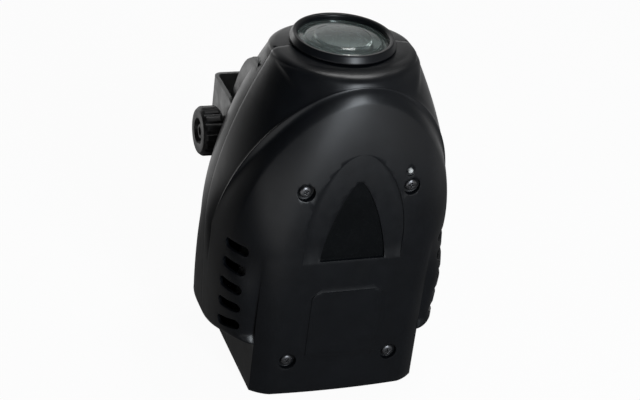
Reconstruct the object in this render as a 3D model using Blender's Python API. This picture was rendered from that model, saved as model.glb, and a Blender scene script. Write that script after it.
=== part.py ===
"""LED flower effect light.

An egg-shaped two-part housing stands on a square base. A lens looks out of the top, over a geared
wheel with petal cut-outs, a condenser and one LED on a fan-cooled heatsink. A steel yoke hangs on
two clamp knobs at the back.

Origin on the floor, under the middle of the light's box and 7.45 mm behind the lens axis.
+Z runs along the lens axis, the front faces -Y.
"""

import math

import bmesh
import bpy
from mathutils import Matrix, Vector

for old in list(bpy.data.objects):
    bpy.data.objects.remove(old)

MM = 0.001
MIDDLE_Y = 7.45 * MM

# Fits
GAP = 0.3 * MM
WALL = 2.5 * MM
SHEET = 1.5 * MM
SEAM_HALF = 0.15 * MM
SEAM_STRIP = 2.5 * MM

# Housing outline, at the seam between the shells
TOP_Z = 210.0 * MM
TOP_CROWN = 1.4 * MM
TOP_ROUND = 5.5 * MM
TOP_HALF_WIDTH = 44.5 * MM
TOP_FRONT_REACH = 42.0 * MM
TOP_FRONT_LIFT = 2.0 * MM
EGG_Z = 97.0 * MM
EGG_HALF_WIDTH = 75.0 * MM
POD_LOW_Z = 34.0 * MM
POD_HIGH_Z = 40.5 * MM
POD_HALF_WIDTH = 71.8 * MM
POD_POWER = 2.6
POD_FOOT_POWER = 3.0
POD_FOOT_DROP = 11.5 * MM
POD_FOOT_FADE_Z = 72.0 * MM
BASE_HALF_WIDTH = 53.4 * MM
LENS_HOLE_RADIUS = 30.0 * MM
CROWN_INNER = LENS_HOLE_RADIUS - 0.8 * MM

# Front face
FACE_Y = -60.0 * MM
FACE_FALL = 9.0 * MM
PANEL_HALF = 42.3 * MM
PANEL_CROWN = 1.6 * MM
BASE_CORNER_Y = -51.8 * MM
CREASE_DEPTH = 1.6 * MM
CROWN_POWER = 5.2
INNER_ARCH_HALF = 69.0 * MM
INNER_ARCH_TOP_Z = 196.0 * MM
INNER_ARCH_SIDE_Y = -33.2 * MM
INNER_ARCH_TOP_Y = -51.0 * MM
INNER_ARCH_POWER = 1.85
RIDGE_HALF = 73.5 * MM
RIDGE_TOP_Z = 203.0 * MM
RIDGE_SIDE_Y = -9.9 * MM
RIDGE_TOP_Y = -46.0 * MM
RIDGE_POWER = 2.0
RIDGE_STEP = 0.9 * MM
LEDGE_RISE = 1.2 * MM
LEDGE_SHARE = 0.62
CORNER_ANGLE = math.radians(62)

# Back of the housing: how deep it is at each height
REAR_DEPTH = [(0, 46), (34, 46), (40.5, 52), (95, 56), (130, 55), (163, 50), (190, 42), (210, 34.5)]
REAR_POWER = [(0, 4.0), (34, 4.0), (40.5, 3.2), (100, 2.0), (180, 2.0), (210, 2.0)]

# Front recesses, label field and vents
ARCH_RECESS_DEPTH = 0.9 * MM
ARCH_RECESS_LOW_Z = 92.0 * MM
ARCH_RECESS_TOP_Z = 164.0 * MM
ARCH_RECESS_HALF = 31.0 * MM
ARCH_POWER = 1.8
WINDOW_DEPTH = 2.4 * MM
WINDOW_LOW_Z = 94.5 * MM
WINDOW_TOP_Z = 146.5 * MM
WINDOW_HALF = 20.5 * MM
WINDOW_POWER = 1.42
WINDOW_BACKING = 2.4 * MM
LABEL_RISE = 0.6 * MM
LABEL_HALF = 22.5 * MM
LABEL_LOW_Z = 27.0 * MM
LABEL_TOP_Z = 73.0 * MM
LABEL_ROUND = 5.0 * MM
VENT_FRONT = (60.6 * MM, -46.0 * MM)
VENT_REAR = (70.0 * MM, -29.0 * MM)
VENT_FRONT_Z = [96.0 * MM, 83.0 * MM, 70.0 * MM, 57.6 * MM, 45.7 * MM]
VENT_REAR_DROP = [0.0 * MM, 0.0 * MM, 0.5 * MM, 2.6 * MM, 5.2 * MM]
VENT_HEIGHT = 6.7 * MM
VENT_REACH = 8.0 * MM

# Screws through the shells, and their posts
SCREW_X = 33.0 * MM
SCREW_LOW_Z = 24.0 * MM
FRONT_SCREW_HIGH_Z = 141.0 * MM
REAR_SCREW_HIGH_Z = 103.0 * MM
SCREW_HEAD_RADIUS = 3.75 * MM
SCREW_HEAD_HEIGHT = 2.4 * MM
SCREW_RADIUS = 2.0 * MM
SCREW_LENGTH = 15.0 * MM
COUNTERBORE_RADIUS = 5.5 * MM
COUNTERBORE_DEPTH = 3.2 * MM
POST_RADIUS = 7.2 * MM
LAMP_X = 31.0 * MM
LAMP_Z = 151.0 * MM
LAMP_RADIUS = 1.6 * MM

# Chassis plates
CHASSIS_HALF = 38.0 * MM
CHASSIS_TOP_Z = 147.0 * MM
CHASSIS_FRONT_Y = -48.0 * MM
CHASSIS_REAR_Y = 35.5 * MM
FLANGE_DROP = 10.0 * MM
LED_SHELF_Z = 96.0 * MM
WHEEL_SHELF_Z = 118.0 * MM
WHEEL_SHELF_HALF = 40.0 * MM
LIGHT_HOLE_RADIUS = 24.0 * MM

# Base
PANEL_Z = 8.0 * MM
PANEL_SCREW_FRONT = (47.0 * MM, -42.0 * MM)
PANEL_SCREW_REAR = (46.0 * MM, 26.0 * MM)
PANEL_BOSS_RADIUS = 5.0 * MM
PANEL_BOSS_TOP_Z = 26.0 * MM
PANEL_SCREW_RADIUS = 1.3 * MM
INLET = (-25.0 * MM, -15.0 * MM)
INLET_SIZE = (28.0 * MM, 20.5 * MM)
INLET_MOUTH = (24.0 * MM, 16.5 * MM)
INLET_DEPTH = 17.0 * MM
INLET_FLANGE_Z = 5.0 * MM
FUSE = (8.0 * MM, -20.0 * MM)
FUSE_RADIUS = 6.0 * MM
POT = (30.0 * MM, -20.0 * MM)
POT_BUSH_RADIUS = 3.4 * MM
SHAFT_RADIUS = 1.5 * MM
MICROPHONE = (30.0 * MM, -2.0 * MM)
MICROPHONE_RADIUS = 4.5 * MM
STUD_RADIUS = 2.5 * MM
POWER_BOARD_Z = 30.0 * MM
POWER_BOARD_Y = (-38.0 * MM, 26.0 * MM)
BOARD = 1.6 * MM
BOARD_STUDS = [(x, y) for x in (-33.0 * MM, 33.0 * MM) for y in (-33.0 * MM, 21.0 * MM)]
CONTROL_BOARD_Y = -42.2 * MM
CONTROL_BOARD_HALF = 28.0 * MM
CONTROL_BOARD_Z = (42.0 * MM, 82.0 * MM)

# Light engine
LED_BOARD_RADIUS = 20.0 * MM
HEATSINK = 56.0 * MM
HEATSINK_BASE = 5.0 * MM
FIN_LENGTH = 18.7 * MM
FIN_COUNT = 9
FIN = 1.6 * MM
FAN = 60.0 * MM
FAN_HEIGHT = 15.0 * MM
FAN_BORE_RADIUS = 28.0 * MM
FAN_HUB_RADIUS = 11.0 * MM
FAN_BLADES = 7
CONDENSER_RADIUS = 20.7 * MM
CONDENSER_HOLDER_RADIUS = 26.0 * MM

# Flower wheel, from the barrel's flange down
BARREL_FLANGE_Z = 136.7 * MM
BARREL_FLANGE = 2.5 * MM
BARREL_FLANGE_RADIUS = 40.5 * MM
SPIGOT_RADIUS = 22.6 * MM
SPIGOT_BORE = 20.0 * MM
BUSHING = 2.0 * MM
BUSHING_FLANGE = 1.6 * MM
BUSHING_FLANGE_RADIUS = 27.5 * MM
GEAR_MODULE = 1.5 * MM
RING_TEETH = 42
PINION_TEETH = 10
RING_HEIGHT = 13.0 * MM
RING_SHOULDER_DEPTH = 6.5 * MM
CLIP = 1.1 * MM
FLOWER_DISC = 1.3 * MM
FLOWER_DISC_RADIUS = 27.6 * MM
CLIP_RADIUS = 26.3 * MM
PETALS = 8
MOTOR_RADIUS = 10.5 * MM
MOTOR_HEIGHT = 18.2 * MM
MOTOR_BOSS_RADIUS = 3.5 * MM
BARREL_POST_RADIUS = 2.5 * MM
BARREL_POST_REACH = 36.3 * MM
BARREL_POST_ANGLES = [55, -55, 180]

# Lens on top
LENS_RADIUS = 28.3 * MM
LENS_EDGE = 3.0 * MM
LENS_DOME = 3.2 * MM
SEAL = 1.0 * MM
COLLAR_RADIUS = 32.0 * MM
COLLAR_TOP_RADIUS = 30.6 * MM
COLLAR_HEIGHT = 4.7 * MM
COLLAR_BORE = 27.4 * MM
SKIRT_DEPTH = 8.0 * MM
BARREL_WALL = 1.9 * MM

# Yoke and its joints
PIVOT_Y = 42.0 * MM
PIVOT_Z = 131.5 * MM
CHEEK_X = 49.7 * MM
CHEEK_FOOT_X = 24.0 * MM
CHEEK_REACH = [(100, 34), (106, 42), (112, 48), (122, 55), (131, 57.5), (140, 55.5), (150, 49)]
CHEEK_REACH += [(162, 42.5), (176, 35), (188, 25), (196, 13)]
POCKET_RADIUS = 26.5 * MM
ARM_RADIUS = 23.0 * MM
YOKE_SHEET = 2.5 * MM
YOKE_REACH = 31.0 * MM
YOKE_BEND = 2.5 * MM
WASHER = 1.0 * MM
WASHER_RADIUS = 15.0 * MM
ARM_X = CHEEK_X + GAP + WASHER + GAP
KNOB_X = ARM_X + YOKE_SHEET + GAP
KNOB_RADIUS = 15.5 * MM
KNOB_LENGTH = 16.9 * MM
KNOB_HUB_RADIUS = 9.0 * MM
KNOB_DISC = 10.0 * MM
KNOB_FLUTES = 16
STUD_THREAD_RADIUS = 3.0 * MM
STUD_INNER_X = 42.0 * MM
STUD_OUTER_X = 66.0 * MM
INSERT_RADIUS = 5.0 * MM
INSERT_INNER_X = 40.6 * MM
PIVOT_BOSS_RADIUS = 8.0 * MM
PIVOT_BOSS_X = 38.6 * MM


def clamp(value):
    return min(max(value, 0.0), 1.0)


def smooth(low, high, value):
    t = clamp((value - low) / (high - low))
    return t * t * (3 - 2 * t)


def along(points, z):
    """A value read off a smooth line through (height, value) points given in millimetres."""
    z = z / MM
    if z <= points[0][0]:
        return points[0][1]
    for (z0, v0), (z1, v1) in zip(points, points[1:]):
        if z <= z1:
            t = (z - z0) / (z1 - z0)
            return v0 + (v1 - v0) * t * t * (3 - 2 * t) if v0 != v1 else v0
    return points[-1][1]


def seam_half_width(z):
    if z >= EGG_Z:
        t = clamp((z - EGG_Z) / (TOP_Z - TOP_ROUND - EGG_Z))
        return EGG_HALF_WIDTH - (EGG_HALF_WIDTH - TOP_HALF_WIDTH) * t**1.8
    if z >= POD_HIGH_Z:
        t = (EGG_Z - z) / (EGG_Z - POD_HIGH_Z)
        return EGG_HALF_WIDTH - (EGG_HALF_WIDTH - POD_HALF_WIDTH) * t**1.3
    if z <= POD_LOW_Z:
        return BASE_HALF_WIDTH
    t = (POD_HIGH_Z - z) / (POD_HIGH_Z - POD_LOW_Z)
    swell = (1 - t**POD_FOOT_POWER) ** (1 / POD_FOOT_POWER)
    return BASE_HALF_WIDTH + (POD_HALF_WIDTH - BASE_HALF_WIDTH) * swell


def face_centre_y(z):
    return FACE_Y + FACE_FALL * (max(z, 0) / INNER_ARCH_TOP_Z) ** 4


def inner_arch_y(z):
    t = (z - EGG_Z) / (INNER_ARCH_TOP_Z - EGG_Z)
    return INNER_ARCH_SIDE_Y + (INNER_ARCH_TOP_Y - INNER_ARCH_SIDE_Y) * t


def crowned_y(x, z):
    """The face inside the inner arch: flat in the middle, falling back towards the arch's edge."""
    rise = max(z - EGG_Z, 0) / (INNER_ARCH_TOP_Z - EGG_Z)
    reach = (abs(x) / INNER_ARCH_HALF) ** INNER_ARCH_POWER + rise**INNER_ARCH_POWER
    reach = max(reach, 1e-9) ** (1 / INNER_ARCH_POWER)
    edge_z = EGG_Z + (INNER_ARCH_TOP_Z - EGG_Z) * min(rise / reach, 1)
    return face_centre_y(z) + (inner_arch_y(edge_z) - face_centre_y(edge_z)) * reach**CROWN_POWER


def face_y(x, z):
    """The whole face: the flat base panel passes into the crowned face."""
    panel = FACE_Y + PANEL_CROWN * (x / PANEL_HALF) ** 2
    return panel + (crowned_y(x, z) - panel) * smooth(POD_HIGH_Z, EGG_Z, z)


def crease_y(z):
    """The edge between the front panel and the rounded pods beside it."""
    return BASE_CORNER_Y + (crowned_y(BASE_HALF_WIDTH, EGG_Z) - BASE_CORNER_Y) * smooth(POD_HIGH_Z, EGG_Z, z)


def crease_depth(z):
    """How far the pod lies behind the panel at the crease, fading out under the widest level."""
    return CREASE_DEPTH * smooth(POD_LOW_Z, POD_HIGH_Z, z) * (1 - smooth(POD_HIGH_Z, EGG_Z, z))


def arch_point(half, top_z, power, angle):
    x = half * max(math.cos(angle), 0) ** (2 / power)
    z = EGG_Z + (top_z - EGG_Z) * max(math.sin(angle), 0) ** (2 / power)
    return x, z


def top_edge(turn, roll):
    """A point of the rounded edge round the top: turn runs from the side to the front."""
    inset = TOP_ROUND * (1 - math.cos(roll))
    start_z = TOP_Z - TOP_ROUND + TOP_FRONT_LIFT * math.sin(turn)
    z = start_z + (TOP_Z - TOP_CROWN - start_z) * math.sin(roll)
    x = (TOP_HALF_WIDTH - inset) * max(math.cos(turn), 0) ** 0.92
    y = SEAM_STRIP + (TOP_FRONT_REACH - inset - SEAM_STRIP) * math.sin(turn) ** 0.92
    return Vector((x, -y, z))


def fan_row(angle):
    """One row of the front, from the middle of the face over both arches to the seam or top edge."""
    inner_x, inner_z = arch_point(INNER_ARCH_HALF, INNER_ARCH_TOP_Z, INNER_ARCH_POWER, angle)
    row = []
    panel_reach = PANEL_HALF / INNER_ARCH_HALF
    base_reach = BASE_HALF_WIDTH / INNER_ARCH_HALF
    outside = [base_reach + (1 - base_reach) * share for share in (0.4, 0.72, 1)]
    for reach in [0, panel_reach * 0.55, panel_reach, base_reach, base_reach] + outside:
        x, z = inner_x * reach, EGG_Z + (inner_z - EGG_Z) * reach
        row.append(Vector((x, crowned_y(x, z), z)))
    ridge_x, ridge_z = arch_point(RIDGE_HALF, RIDGE_TOP_Z, RIDGE_POWER, angle)
    t = clamp((ridge_z - EGG_Z) / (RIDGE_TOP_Z - EGG_Z))
    ridge = Vector((ridge_x, RIDGE_SIDE_Y + (RIDGE_TOP_Y - RIDGE_SIDE_Y) * t**0.95, ridge_z))
    fade = 1 - 0.35 * smooth(math.pi / 4, math.pi / 2, angle)
    ledge_share = LEDGE_SHARE * smooth(0, math.pi / 4, angle) * fade
    ledge = ridge + (row[-1] - ridge) * ledge_share
    ledge.y = ridge.y - LEDGE_RISE * smooth(0, math.pi / 4, angle)
    wall = row[-1] * 0.4 + ledge * 0.6
    wall.y += 0.12 * (row[-1].y - ledge.y)
    if angle <= CORNER_ANGLE:
        seam_z = EGG_Z + (TOP_Z - TOP_ROUND - EGG_Z) * math.sin(angle) / math.sin(CORNER_ANGLE)
        side = Vector((seam_half_width(seam_z), -SEAM_STRIP, seam_z))
    else:
        turn = (angle - CORNER_ANGLE) / (math.pi / 2 - CORNER_ANGLE) * math.pi / 2
        side = top_edge(turn, 0)
    pull = Vector((side.x, side.y + 0.55 * (ridge.y - side.y), side.z))
    inward = Vector((-ridge.x, -ridge.y / 2, EGG_Z / 2 - ridge.z / 2)).normalized()
    step = ridge + (pull - ridge).normalized() * RIDGE_STEP + inward * RIDGE_STEP
    row += [wall, ledge, ridge, step]
    for t in (1 / 3, 2 / 3, 1):
        row.append(step * (1 - t) ** 2 + pull * 2 * t * (1 - t) + side * t * t)
    return row


def panel_row(z, egg_row):
    """One level row of the front below the widest level, from the middle of the panel to the seam."""
    row = []
    for point in egg_row[:3]:
        row.append(Vector((point.x, face_y(point.x, z), z)))
    row.append(Vector((BASE_HALF_WIDTH, crease_y(z), z)))
    edge_y = crease_y(z) + crease_depth(z)
    egg_edge = egg_row[3]
    fullness = 1 - smooth(POD_HIGH_Z + (EGG_Z - POD_HIGH_Z) * 0.4, EGG_Z, z)
    for point in egg_row[4:]:
        share_x = clamp((point.x - egg_edge.x) / (EGG_HALF_WIDTH - egg_edge.x))
        share_y = clamp((point.y + SEAM_STRIP) / (egg_edge.y + SEAM_STRIP))
        full_reach = (share_x**POD_POWER + share_y**POD_POWER) ** (-1 / POD_POWER)
        grow = 1 + (full_reach - 1) * fullness
        x = BASE_HALF_WIDTH + (seam_half_width(z) - BASE_HALF_WIDTH) * share_x * grow
        row.append(Vector((x, -SEAM_STRIP + (edge_y + SEAM_STRIP) * share_y * grow, z)))
    return row


def settle(bm):
    """Lowers the pods' feet towards the back, as their undersides slope."""
    for vert in bm.verts:
        back = smooth(BASE_CORNER_Y, 0, vert.co.y)
        low = clamp(vert.co.z / POD_LOW_Z)
        high = 1 - smooth(POD_HIGH_Z, POD_FOOT_FADE_Z, vert.co.z)
        vert.co.z -= POD_FOOT_DROP * back * min(low, high)


def skin(bm, rows):
    grid = [[bm.verts.new(point) for point in row] for row in rows]
    for low, high in zip(grid, grid[1:]):
        for a, b, c, d in zip(low, low[1:], high[1:], high):
            bm.faces.new((a, b, c, d))


def pod_levels():
    """Heights of the level rows: close together where the pods swell out of the base."""
    swell = [POD_HIGH_Z - (POD_HIGH_Z - POD_LOW_Z) * share for share in (1, 0.96, 0.84, 0.5, 0)]
    walls = [POD_HIGH_Z + (EGG_Z - POD_HIGH_Z) * share for share in (0.25, 0.5, 0.75)]
    return [0, POD_LOW_Z / 2] + swell + walls


def front_skin():
    """The open outer surface of the front shell."""
    egg_row = fan_row(0)
    steps_side, steps_top = 10, 6
    angles = [CORNER_ANGLE * i / steps_side for i in range(steps_side + 1)]
    top_angles = [
        CORNER_ANGLE + (math.pi / 2 - CORNER_ANGLE) * i / steps_top for i in range(steps_top + 1)
    ]
    side_rows = [panel_row(z, egg_row) for z in pod_levels()] + [fan_row(a) for a in angles]
    top_rows = [fan_row(a) for a in top_angles]
    seam = [[row[-1], Vector((row[-1].x, -SEAM_HALF, row[-1].z))] for row in side_rows]
    crown = []
    for i, row in enumerate(top_rows):
        turn = math.pi / 2 * i / steps_top
        strip = [row[-1]] + [top_edge(turn, math.radians(roll)) for roll in (35, 65, 90)]
        y = SEAM_STRIP + (CROWN_INNER - SEAM_STRIP) * math.sin(turn)
        strip.append(Vector((math.sqrt(max(CROWN_INNER**2 - y * y, 0)), -y, TOP_Z)))
        crown.append(strip)
    joint = [Vector((p.x, -SEAM_HALF, p.z)) for p in crown[0][:-1]]
    joint.append(Vector((math.sqrt(CROWN_INNER**2 - SEAM_HALF**2), -SEAM_HALF, TOP_Z)))
    bm = bmesh.new()
    for rows in (side_rows, top_rows, seam, crown, [joint, crown[0]]):
        skin(bm, rows)
        skin(bm, [[Vector((-p.x, p.y, p.z)) for p in row] for row in rows])
    bmesh.ops.remove_doubles(bm, verts=bm.verts, dist=0.01 * MM)
    settle(bm)
    bmesh.ops.recalc_face_normals(bm, faces=bm.faces)
    front = min(bm.faces, key=lambda face: face.calc_center_median().y)
    if front.normal.y > 0:
        bmesh.ops.reverse_faces(bm, faces=bm.faces)
    return bm


def rear_ring(z, half_width, depth, power, start_y, steps=18):
    """One level outline of the rear shell, from the right seam round the back to the left one."""
    ring = [Vector((half_width, start_y, z))]
    for i in range(steps + 1):
        a = math.pi * i / steps
        x = half_width * math.copysign(abs(math.cos(a)) ** (2 / power), math.cos(a))
        y = SEAM_STRIP + (depth - SEAM_STRIP) * max(math.sin(a), 0) ** (2 / power)
        ring.append(Vector((x, y, z)))
    ring.append(Vector((-half_width, start_y, z)))
    return ring


def rear_levels():
    steps = 9
    egg = [EGG_Z + (TOP_Z - TOP_ROUND - EGG_Z) * i / steps for i in range(steps + 1)]
    return pod_levels() + egg


def loft(rings):
    """A closed body over level outlines with as many points each."""
    bm = bmesh.new()
    grid = [[bm.verts.new(point) for point in ring] for ring in rings]
    for low, high in zip(grid, grid[1:]):
        for i in range(len(low)):
            j = (i + 1) % len(low)
            bm.faces.new((low[i], low[j], high[j], high[i]))
    bm.faces.new(grid[0])
    bm.faces.new(grid[-1])
    bmesh.ops.recalc_face_normals(bm, faces=bm.faces)
    return bm


def rear_depth(z):
    return along(REAR_DEPTH, z) * MM


def rear_y(x, z):
    """The outer surface of the rear shell, above the pods' feet."""
    power = along(REAR_POWER, z)
    share = clamp(1 - (abs(x) / seam_half_width(z)) ** power)
    return SEAM_STRIP + (rear_depth(z) - SEAM_STRIP) * share ** (1 / power)


def rear_outside():
    rings = []
    for z in rear_levels():
        rings.append(rear_ring(z, seam_half_width(z), rear_depth(z), along(REAR_POWER, z), SEAM_HALF))
    z = TOP_Z - TOP_ROUND
    depth, power = rear_depth(z), along(REAR_POWER, z)
    for roll in (35, 65, 90):
        a = math.radians(roll)
        inset = TOP_ROUND * (1 - math.cos(a))
        level = z + (TOP_ROUND - TOP_CROWN) * math.sin(a)
        rings.append(rear_ring(level, TOP_HALF_WIDTH - inset, depth - inset, power, SEAM_HALF))
    rings.append(rear_ring(TOP_Z, CROWN_INNER, CROWN_INNER, power, SEAM_HALF))
    bm = loft(rings)
    settle(bm)
    return bm


def rear_inside():
    """The hollow of the rear shell, a wall smaller than its outside and open to the front and below."""
    low, high = -2 * WALL, TOP_Z - TOP_CROWN - WALL
    levels = [low] + [z + WALL for z in rear_levels() if z > POD_LOW_Z / 2 and z + WALL < TOP_Z - TOP_ROUND]
    rings = []
    for z in levels + [TOP_Z - TOP_ROUND, high]:
        under = z - WALL
        half_width = min(seam_half_width(z), seam_half_width(under)) - WALL
        depth = min(rear_depth(z), rear_depth(under)) - WALL
        inset = TOP_ROUND - WALL if z == high else 0
        rings.append(rear_ring(z, half_width - inset, depth - inset, along(REAR_POWER, under), -2 * WALL))
    bm = loft(rings)
    settle(bm)
    return bm


# Tools


FINISHES = {}


def finish(name, colour, roughness, metallic=0.0, alpha=1.0, transmission=0.0):
    """A material, made once and shared by every piece of that finish."""
    if name not in FINISHES:
        material = bpy.data.materials.new(name)
        material.use_nodes = True
        shader = material.node_tree.nodes["Principled BSDF"]
        shader.inputs["Base Color"].default_value = (*colour, 1)
        shader.inputs["Roughness"].default_value = roughness
        shader.inputs["Metallic"].default_value = metallic
        shader.inputs["Alpha"].default_value = alpha
        shader.inputs["Transmission Weight"].default_value = transmission
        FINISHES[name] = material
    return FINISHES[name]


def black_plastic():
    return finish("black_plastic", (0.018, 0.018, 0.02), 0.42)


def dark_plastic():
    return finish("dark_plastic", (0.03, 0.03, 0.032), 0.6)


def white_plastic():
    return finish("white_plastic", (0.75, 0.74, 0.7), 0.5)


def black_paint():
    return finish("black_paint", (0.02, 0.02, 0.02), 0.35, 0.3)


def steel():
    return finish("steel", (0.55, 0.55, 0.56), 0.3, 1.0)


def zinc_sheet():
    return finish("zinc_sheet", (0.5, 0.51, 0.53), 0.4, 1.0)


def aluminium():
    return finish("aluminium", (0.7, 0.71, 0.72), 0.35, 1.0)


def brass():
    return finish("brass", (0.72, 0.55, 0.25), 0.3, 1.0)


def glass():
    return finish("glass", (0.9, 0.97, 0.95), 0.03, 0.0, 0.4, 0.9)


def rubber():
    return finish("rubber", (0.02, 0.02, 0.02), 0.85)


def board_green():
    return finish("board_green", (0.03, 0.22, 0.1), 0.45)


def solid(name, bm, material, place=None):
    """A named piece. Its mesh is in its own frame, which place sets down in the housing's frame."""
    mesh = bpy.data.meshes.new(name)
    bmesh.ops.remove_doubles(bm, verts=bm.verts, dist=0.001 * MM)
    bm.to_mesh(mesh)
    bm.free()
    mesh.shade_smooth()
    mesh.set_sharp_from_angle(angle=math.radians(32))
    obj = bpy.data.objects.new(name, mesh)
    obj.data.materials.append(material)
    bpy.context.scene.collection.objects.link(obj)
    if place is not None:
        obj.matrix_world = place
    return obj


def helper(name, bm, place=None):
    """A body that only shapes others."""
    obj = solid(name, bm, dark_plastic(), place)
    obj.hide_render = True
    obj.display_type = "WIRE"
    return obj


def boolean(target, other, operation):
    modifier = target.modifiers.new(f"{operation.lower()} {other.name}", "BOOLEAN")
    modifier.operation = operation
    modifier.object = other
    modifier.solver = "EXACT"


def cut(target, other):
    boolean(target, other, "DIFFERENCE")


def join(target, other):
    boolean(target, other, "UNION")


def add_box(bm, low, high):
    low, high = Vector(low), Vector(high)
    size = high - low
    matrix = Matrix.Translation((low + high) / 2) @ Matrix.Diagonal((*size, 1))
    bmesh.ops.create_cube(bm, size=1, matrix=matrix)


def add_rod(bm, start, end, radius, steps=24, end_radius=None):
    """A closed cylinder or cone between two points."""
    start, end = Vector(start), Vector(end)
    axis = end - start
    turn = Vector((0, 0, 1)).rotation_difference(axis).to_matrix().to_4x4()
    bmesh.ops.create_cone(
        bm,
        cap_ends=True,
        segments=steps,
        radius1=radius,
        radius2=radius if end_radius is None else end_radius,
        depth=axis.length,
        matrix=Matrix.Translation((start + end) / 2) @ turn,
    )


def rods(name, ends, radius, steps=24):
    """One helper of several cylinders that stay apart, such as a pattern of holes."""
    bm = bmesh.new()
    for start, end in ends:
        add_rod(bm, start, end, radius, steps)
    return helper(name, bm)


def turned(profile, steps=48):
    """A closed profile of (radius, height) points, spun about the local Z axis."""
    bm = bmesh.new()
    ring = [bm.verts.new((radius, 0, height)) for radius, height in profile]
    edges = [bm.edges.new((a, b)) for a, b in zip(ring, ring[1:] + ring[:1])]
    bmesh.ops.spin(
        bm, geom=ring + edges, cent=(0, 0, 0), axis=(0, 0, 1), angle=math.tau, steps=steps, use_merge=True
    )
    bmesh.ops.remove_doubles(bm, verts=bm.verts, dist=0.002 * MM)
    loose = [edge for edge in bm.edges if not edge.link_faces]
    bmesh.ops.delete(bm, geom=loose, context="EDGES")
    bmesh.ops.recalc_face_normals(bm, faces=bm.faces)
    return bm


def prism(outline, low, high):
    """A flat outline in the local XY plane, raised from low to high."""
    bm = bmesh.new()
    face = bm.faces.new([bm.verts.new((x, y, low)) for x, y in outline])
    moved = bmesh.ops.extrude_face_region(bm, geom=[face])
    top = [item for item in moved["geom"] if isinstance(item, bmesh.types.BMVert)]
    bmesh.ops.translate(bm, verts=top, vec=(0, 0, high - low))
    bmesh.ops.recalc_face_normals(bm, faces=bm.faces)
    return bm


def circle(radius, steps, centre=(0, 0), start=0.0, turn=math.tau):
    """Points on an arc; a full turn leaves out its repeated end."""
    count = steps if turn == math.tau else steps + 1
    angles = [start + turn * i / steps for i in range(count)]
    return [(centre[0] + radius * math.cos(a), centre[1] + radius * math.sin(a)) for a in angles]


def mirrored(points):
    """Each point and its mirror image across the middle plane."""
    return [Vector((side * x, y, z)) for x, y, z in points for side in (-1, 1)]


def baked(obj):
    """The mesh of an object with its modifiers applied; the object itself goes."""
    bpy.context.view_layer.update()
    evaluated = obj.evaluated_get(bpy.context.evaluated_depsgraph_get())
    mesh = bpy.data.meshes.new_from_object(evaluated)
    bpy.data.objects.remove(obj)
    return mesh


def copy_of(mesh, name, place):
    """A repeated piece, which shares its mesh with the others of its kind."""
    obj = bpy.data.objects.new(name, mesh)
    bpy.context.scene.collection.objects.link(obj)
    obj.matrix_world = place
    return obj


def at(x, y, z):
    return Matrix.Translation((x, y, z))


def facing(x, y, z, direction):
    """A frame at a point, whose own Z axis looks along a direction."""
    turn = Vector((0, 0, 1)).rotation_difference(Vector(direction)).to_matrix().to_4x4()
    return at(x, y, z) @ turn


def adopt(child, parent):
    child.parent = parent
    child.matrix_parent_inverse = parent.matrix_world.inverted()


# Front shell


def face_slab(levels, half_width, outer, inner):
    """A slab that follows the front face: at each level as wide as half_width, between two distances
    behind the face; either may be a function of the height."""
    columns = 4
    bm = bmesh.new()
    layers = []
    for depth in (outer, inner):
        rows = []
        for z in levels:
            behind = depth(z) if callable(depth) else depth
            reach = half_width(z)
            xs = [reach * (2 * i / columns - 1) for i in range(columns + 1)]
            rows.append([bm.verts.new((x, face_y(x, z) + behind, z)) for x in xs])
        layers.append(rows)
    for rows in layers:
        for low, high in zip(rows, rows[1:]):
            for a, b, c, d in zip(low, low[1:], high[1:], high):
                bm.faces.new((a, b, c, d))
    front, back = layers
    for low, high in ((front[0], back[0]), (front[-1], back[-1])):
        for a, b, c, d in zip(low, low[1:], high[1:], high):
            bm.faces.new((a, b, c, d))
    for side in (0, -1):
        for i in range(len(levels) - 1):
            bm.faces.new((front[i][side], front[i + 1][side], back[i + 1][side], back[i][side]))
    bmesh.ops.recalc_face_normals(bm, faces=bm.faces)
    return bm


def spread(low, high, steps):
    return [low + (high - low) * i / steps for i in range(steps + 1)]


def tip_levels(low, high, steps):
    """Heights that close up towards an arch's tip."""
    return [low + (high - low) * (1 - (1 - i / steps) ** 2) for i in range(steps + 1)]


def arch_half_width(z, low, top, half, power, straight=0.0):
    """The half width of an upright arch, straight-sided up to a share of its height."""
    t = clamp(((z - low) / (top - low) - straight) / (1 - straight))
    return max(half * (1 - t**power) ** (1 / power), 0.4 * MM)


def surface_post(x, z, start_y, surface, sink, radius, steps=14):
    """A post along Y from start_y to a curved wall, whose far end follows the wall's surface."""
    bm = bmesh.new()
    start = [bm.verts.new((px, start_y, pz)) for px, pz in circle(radius, steps, (x, z))]
    end = [bm.verts.new((px, surface(px, pz) + sink, pz)) for px, pz in circle(radius, steps, (x, z))]
    middle = bm.verts.new((x, surface(x, z) + sink, z))
    bm.faces.new(start)
    for i in range(steps):
        j = (i + 1) % steps
        bm.faces.new((start[i], start[j], end[j], end[i]))
        bm.faces.new((end[i], end[j], middle))
    bmesh.ops.recalc_face_normals(bm, faces=bm.faces)
    return bm


def screw_holes(name, places, surface, outward, end_y):
    """Counterbores and through holes for the case screws of one shell."""
    clear = SCREW_RADIUS + GAP
    bores, holes = [], []
    for x, z in places:
        floor = surface(x, z) - outward * COUNTERBORE_DEPTH
        bores.append(((x, floor, z), (x, floor + outward * 12 * MM, z)))
        holes.append(((x, floor + outward * MM, z), (x, end_y - outward * MM, z)))
    counterbores = rods(f"{name}_counterbores", bores, COUNTERBORE_RADIUS, 18)
    return counterbores, rods(f"{name}_holes", holes, clear, 10)


def front_screw_places():
    return [(side * SCREW_X, z) for z in (FRONT_SCREW_HIGH_Z, SCREW_LOW_Z) for side in (-1, 1)]


def rear_screw_places():
    return [(side * SCREW_X, z) for z in (REAR_SCREW_HIGH_Z, SCREW_LOW_Z) for side in (-1, 1)]


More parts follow.
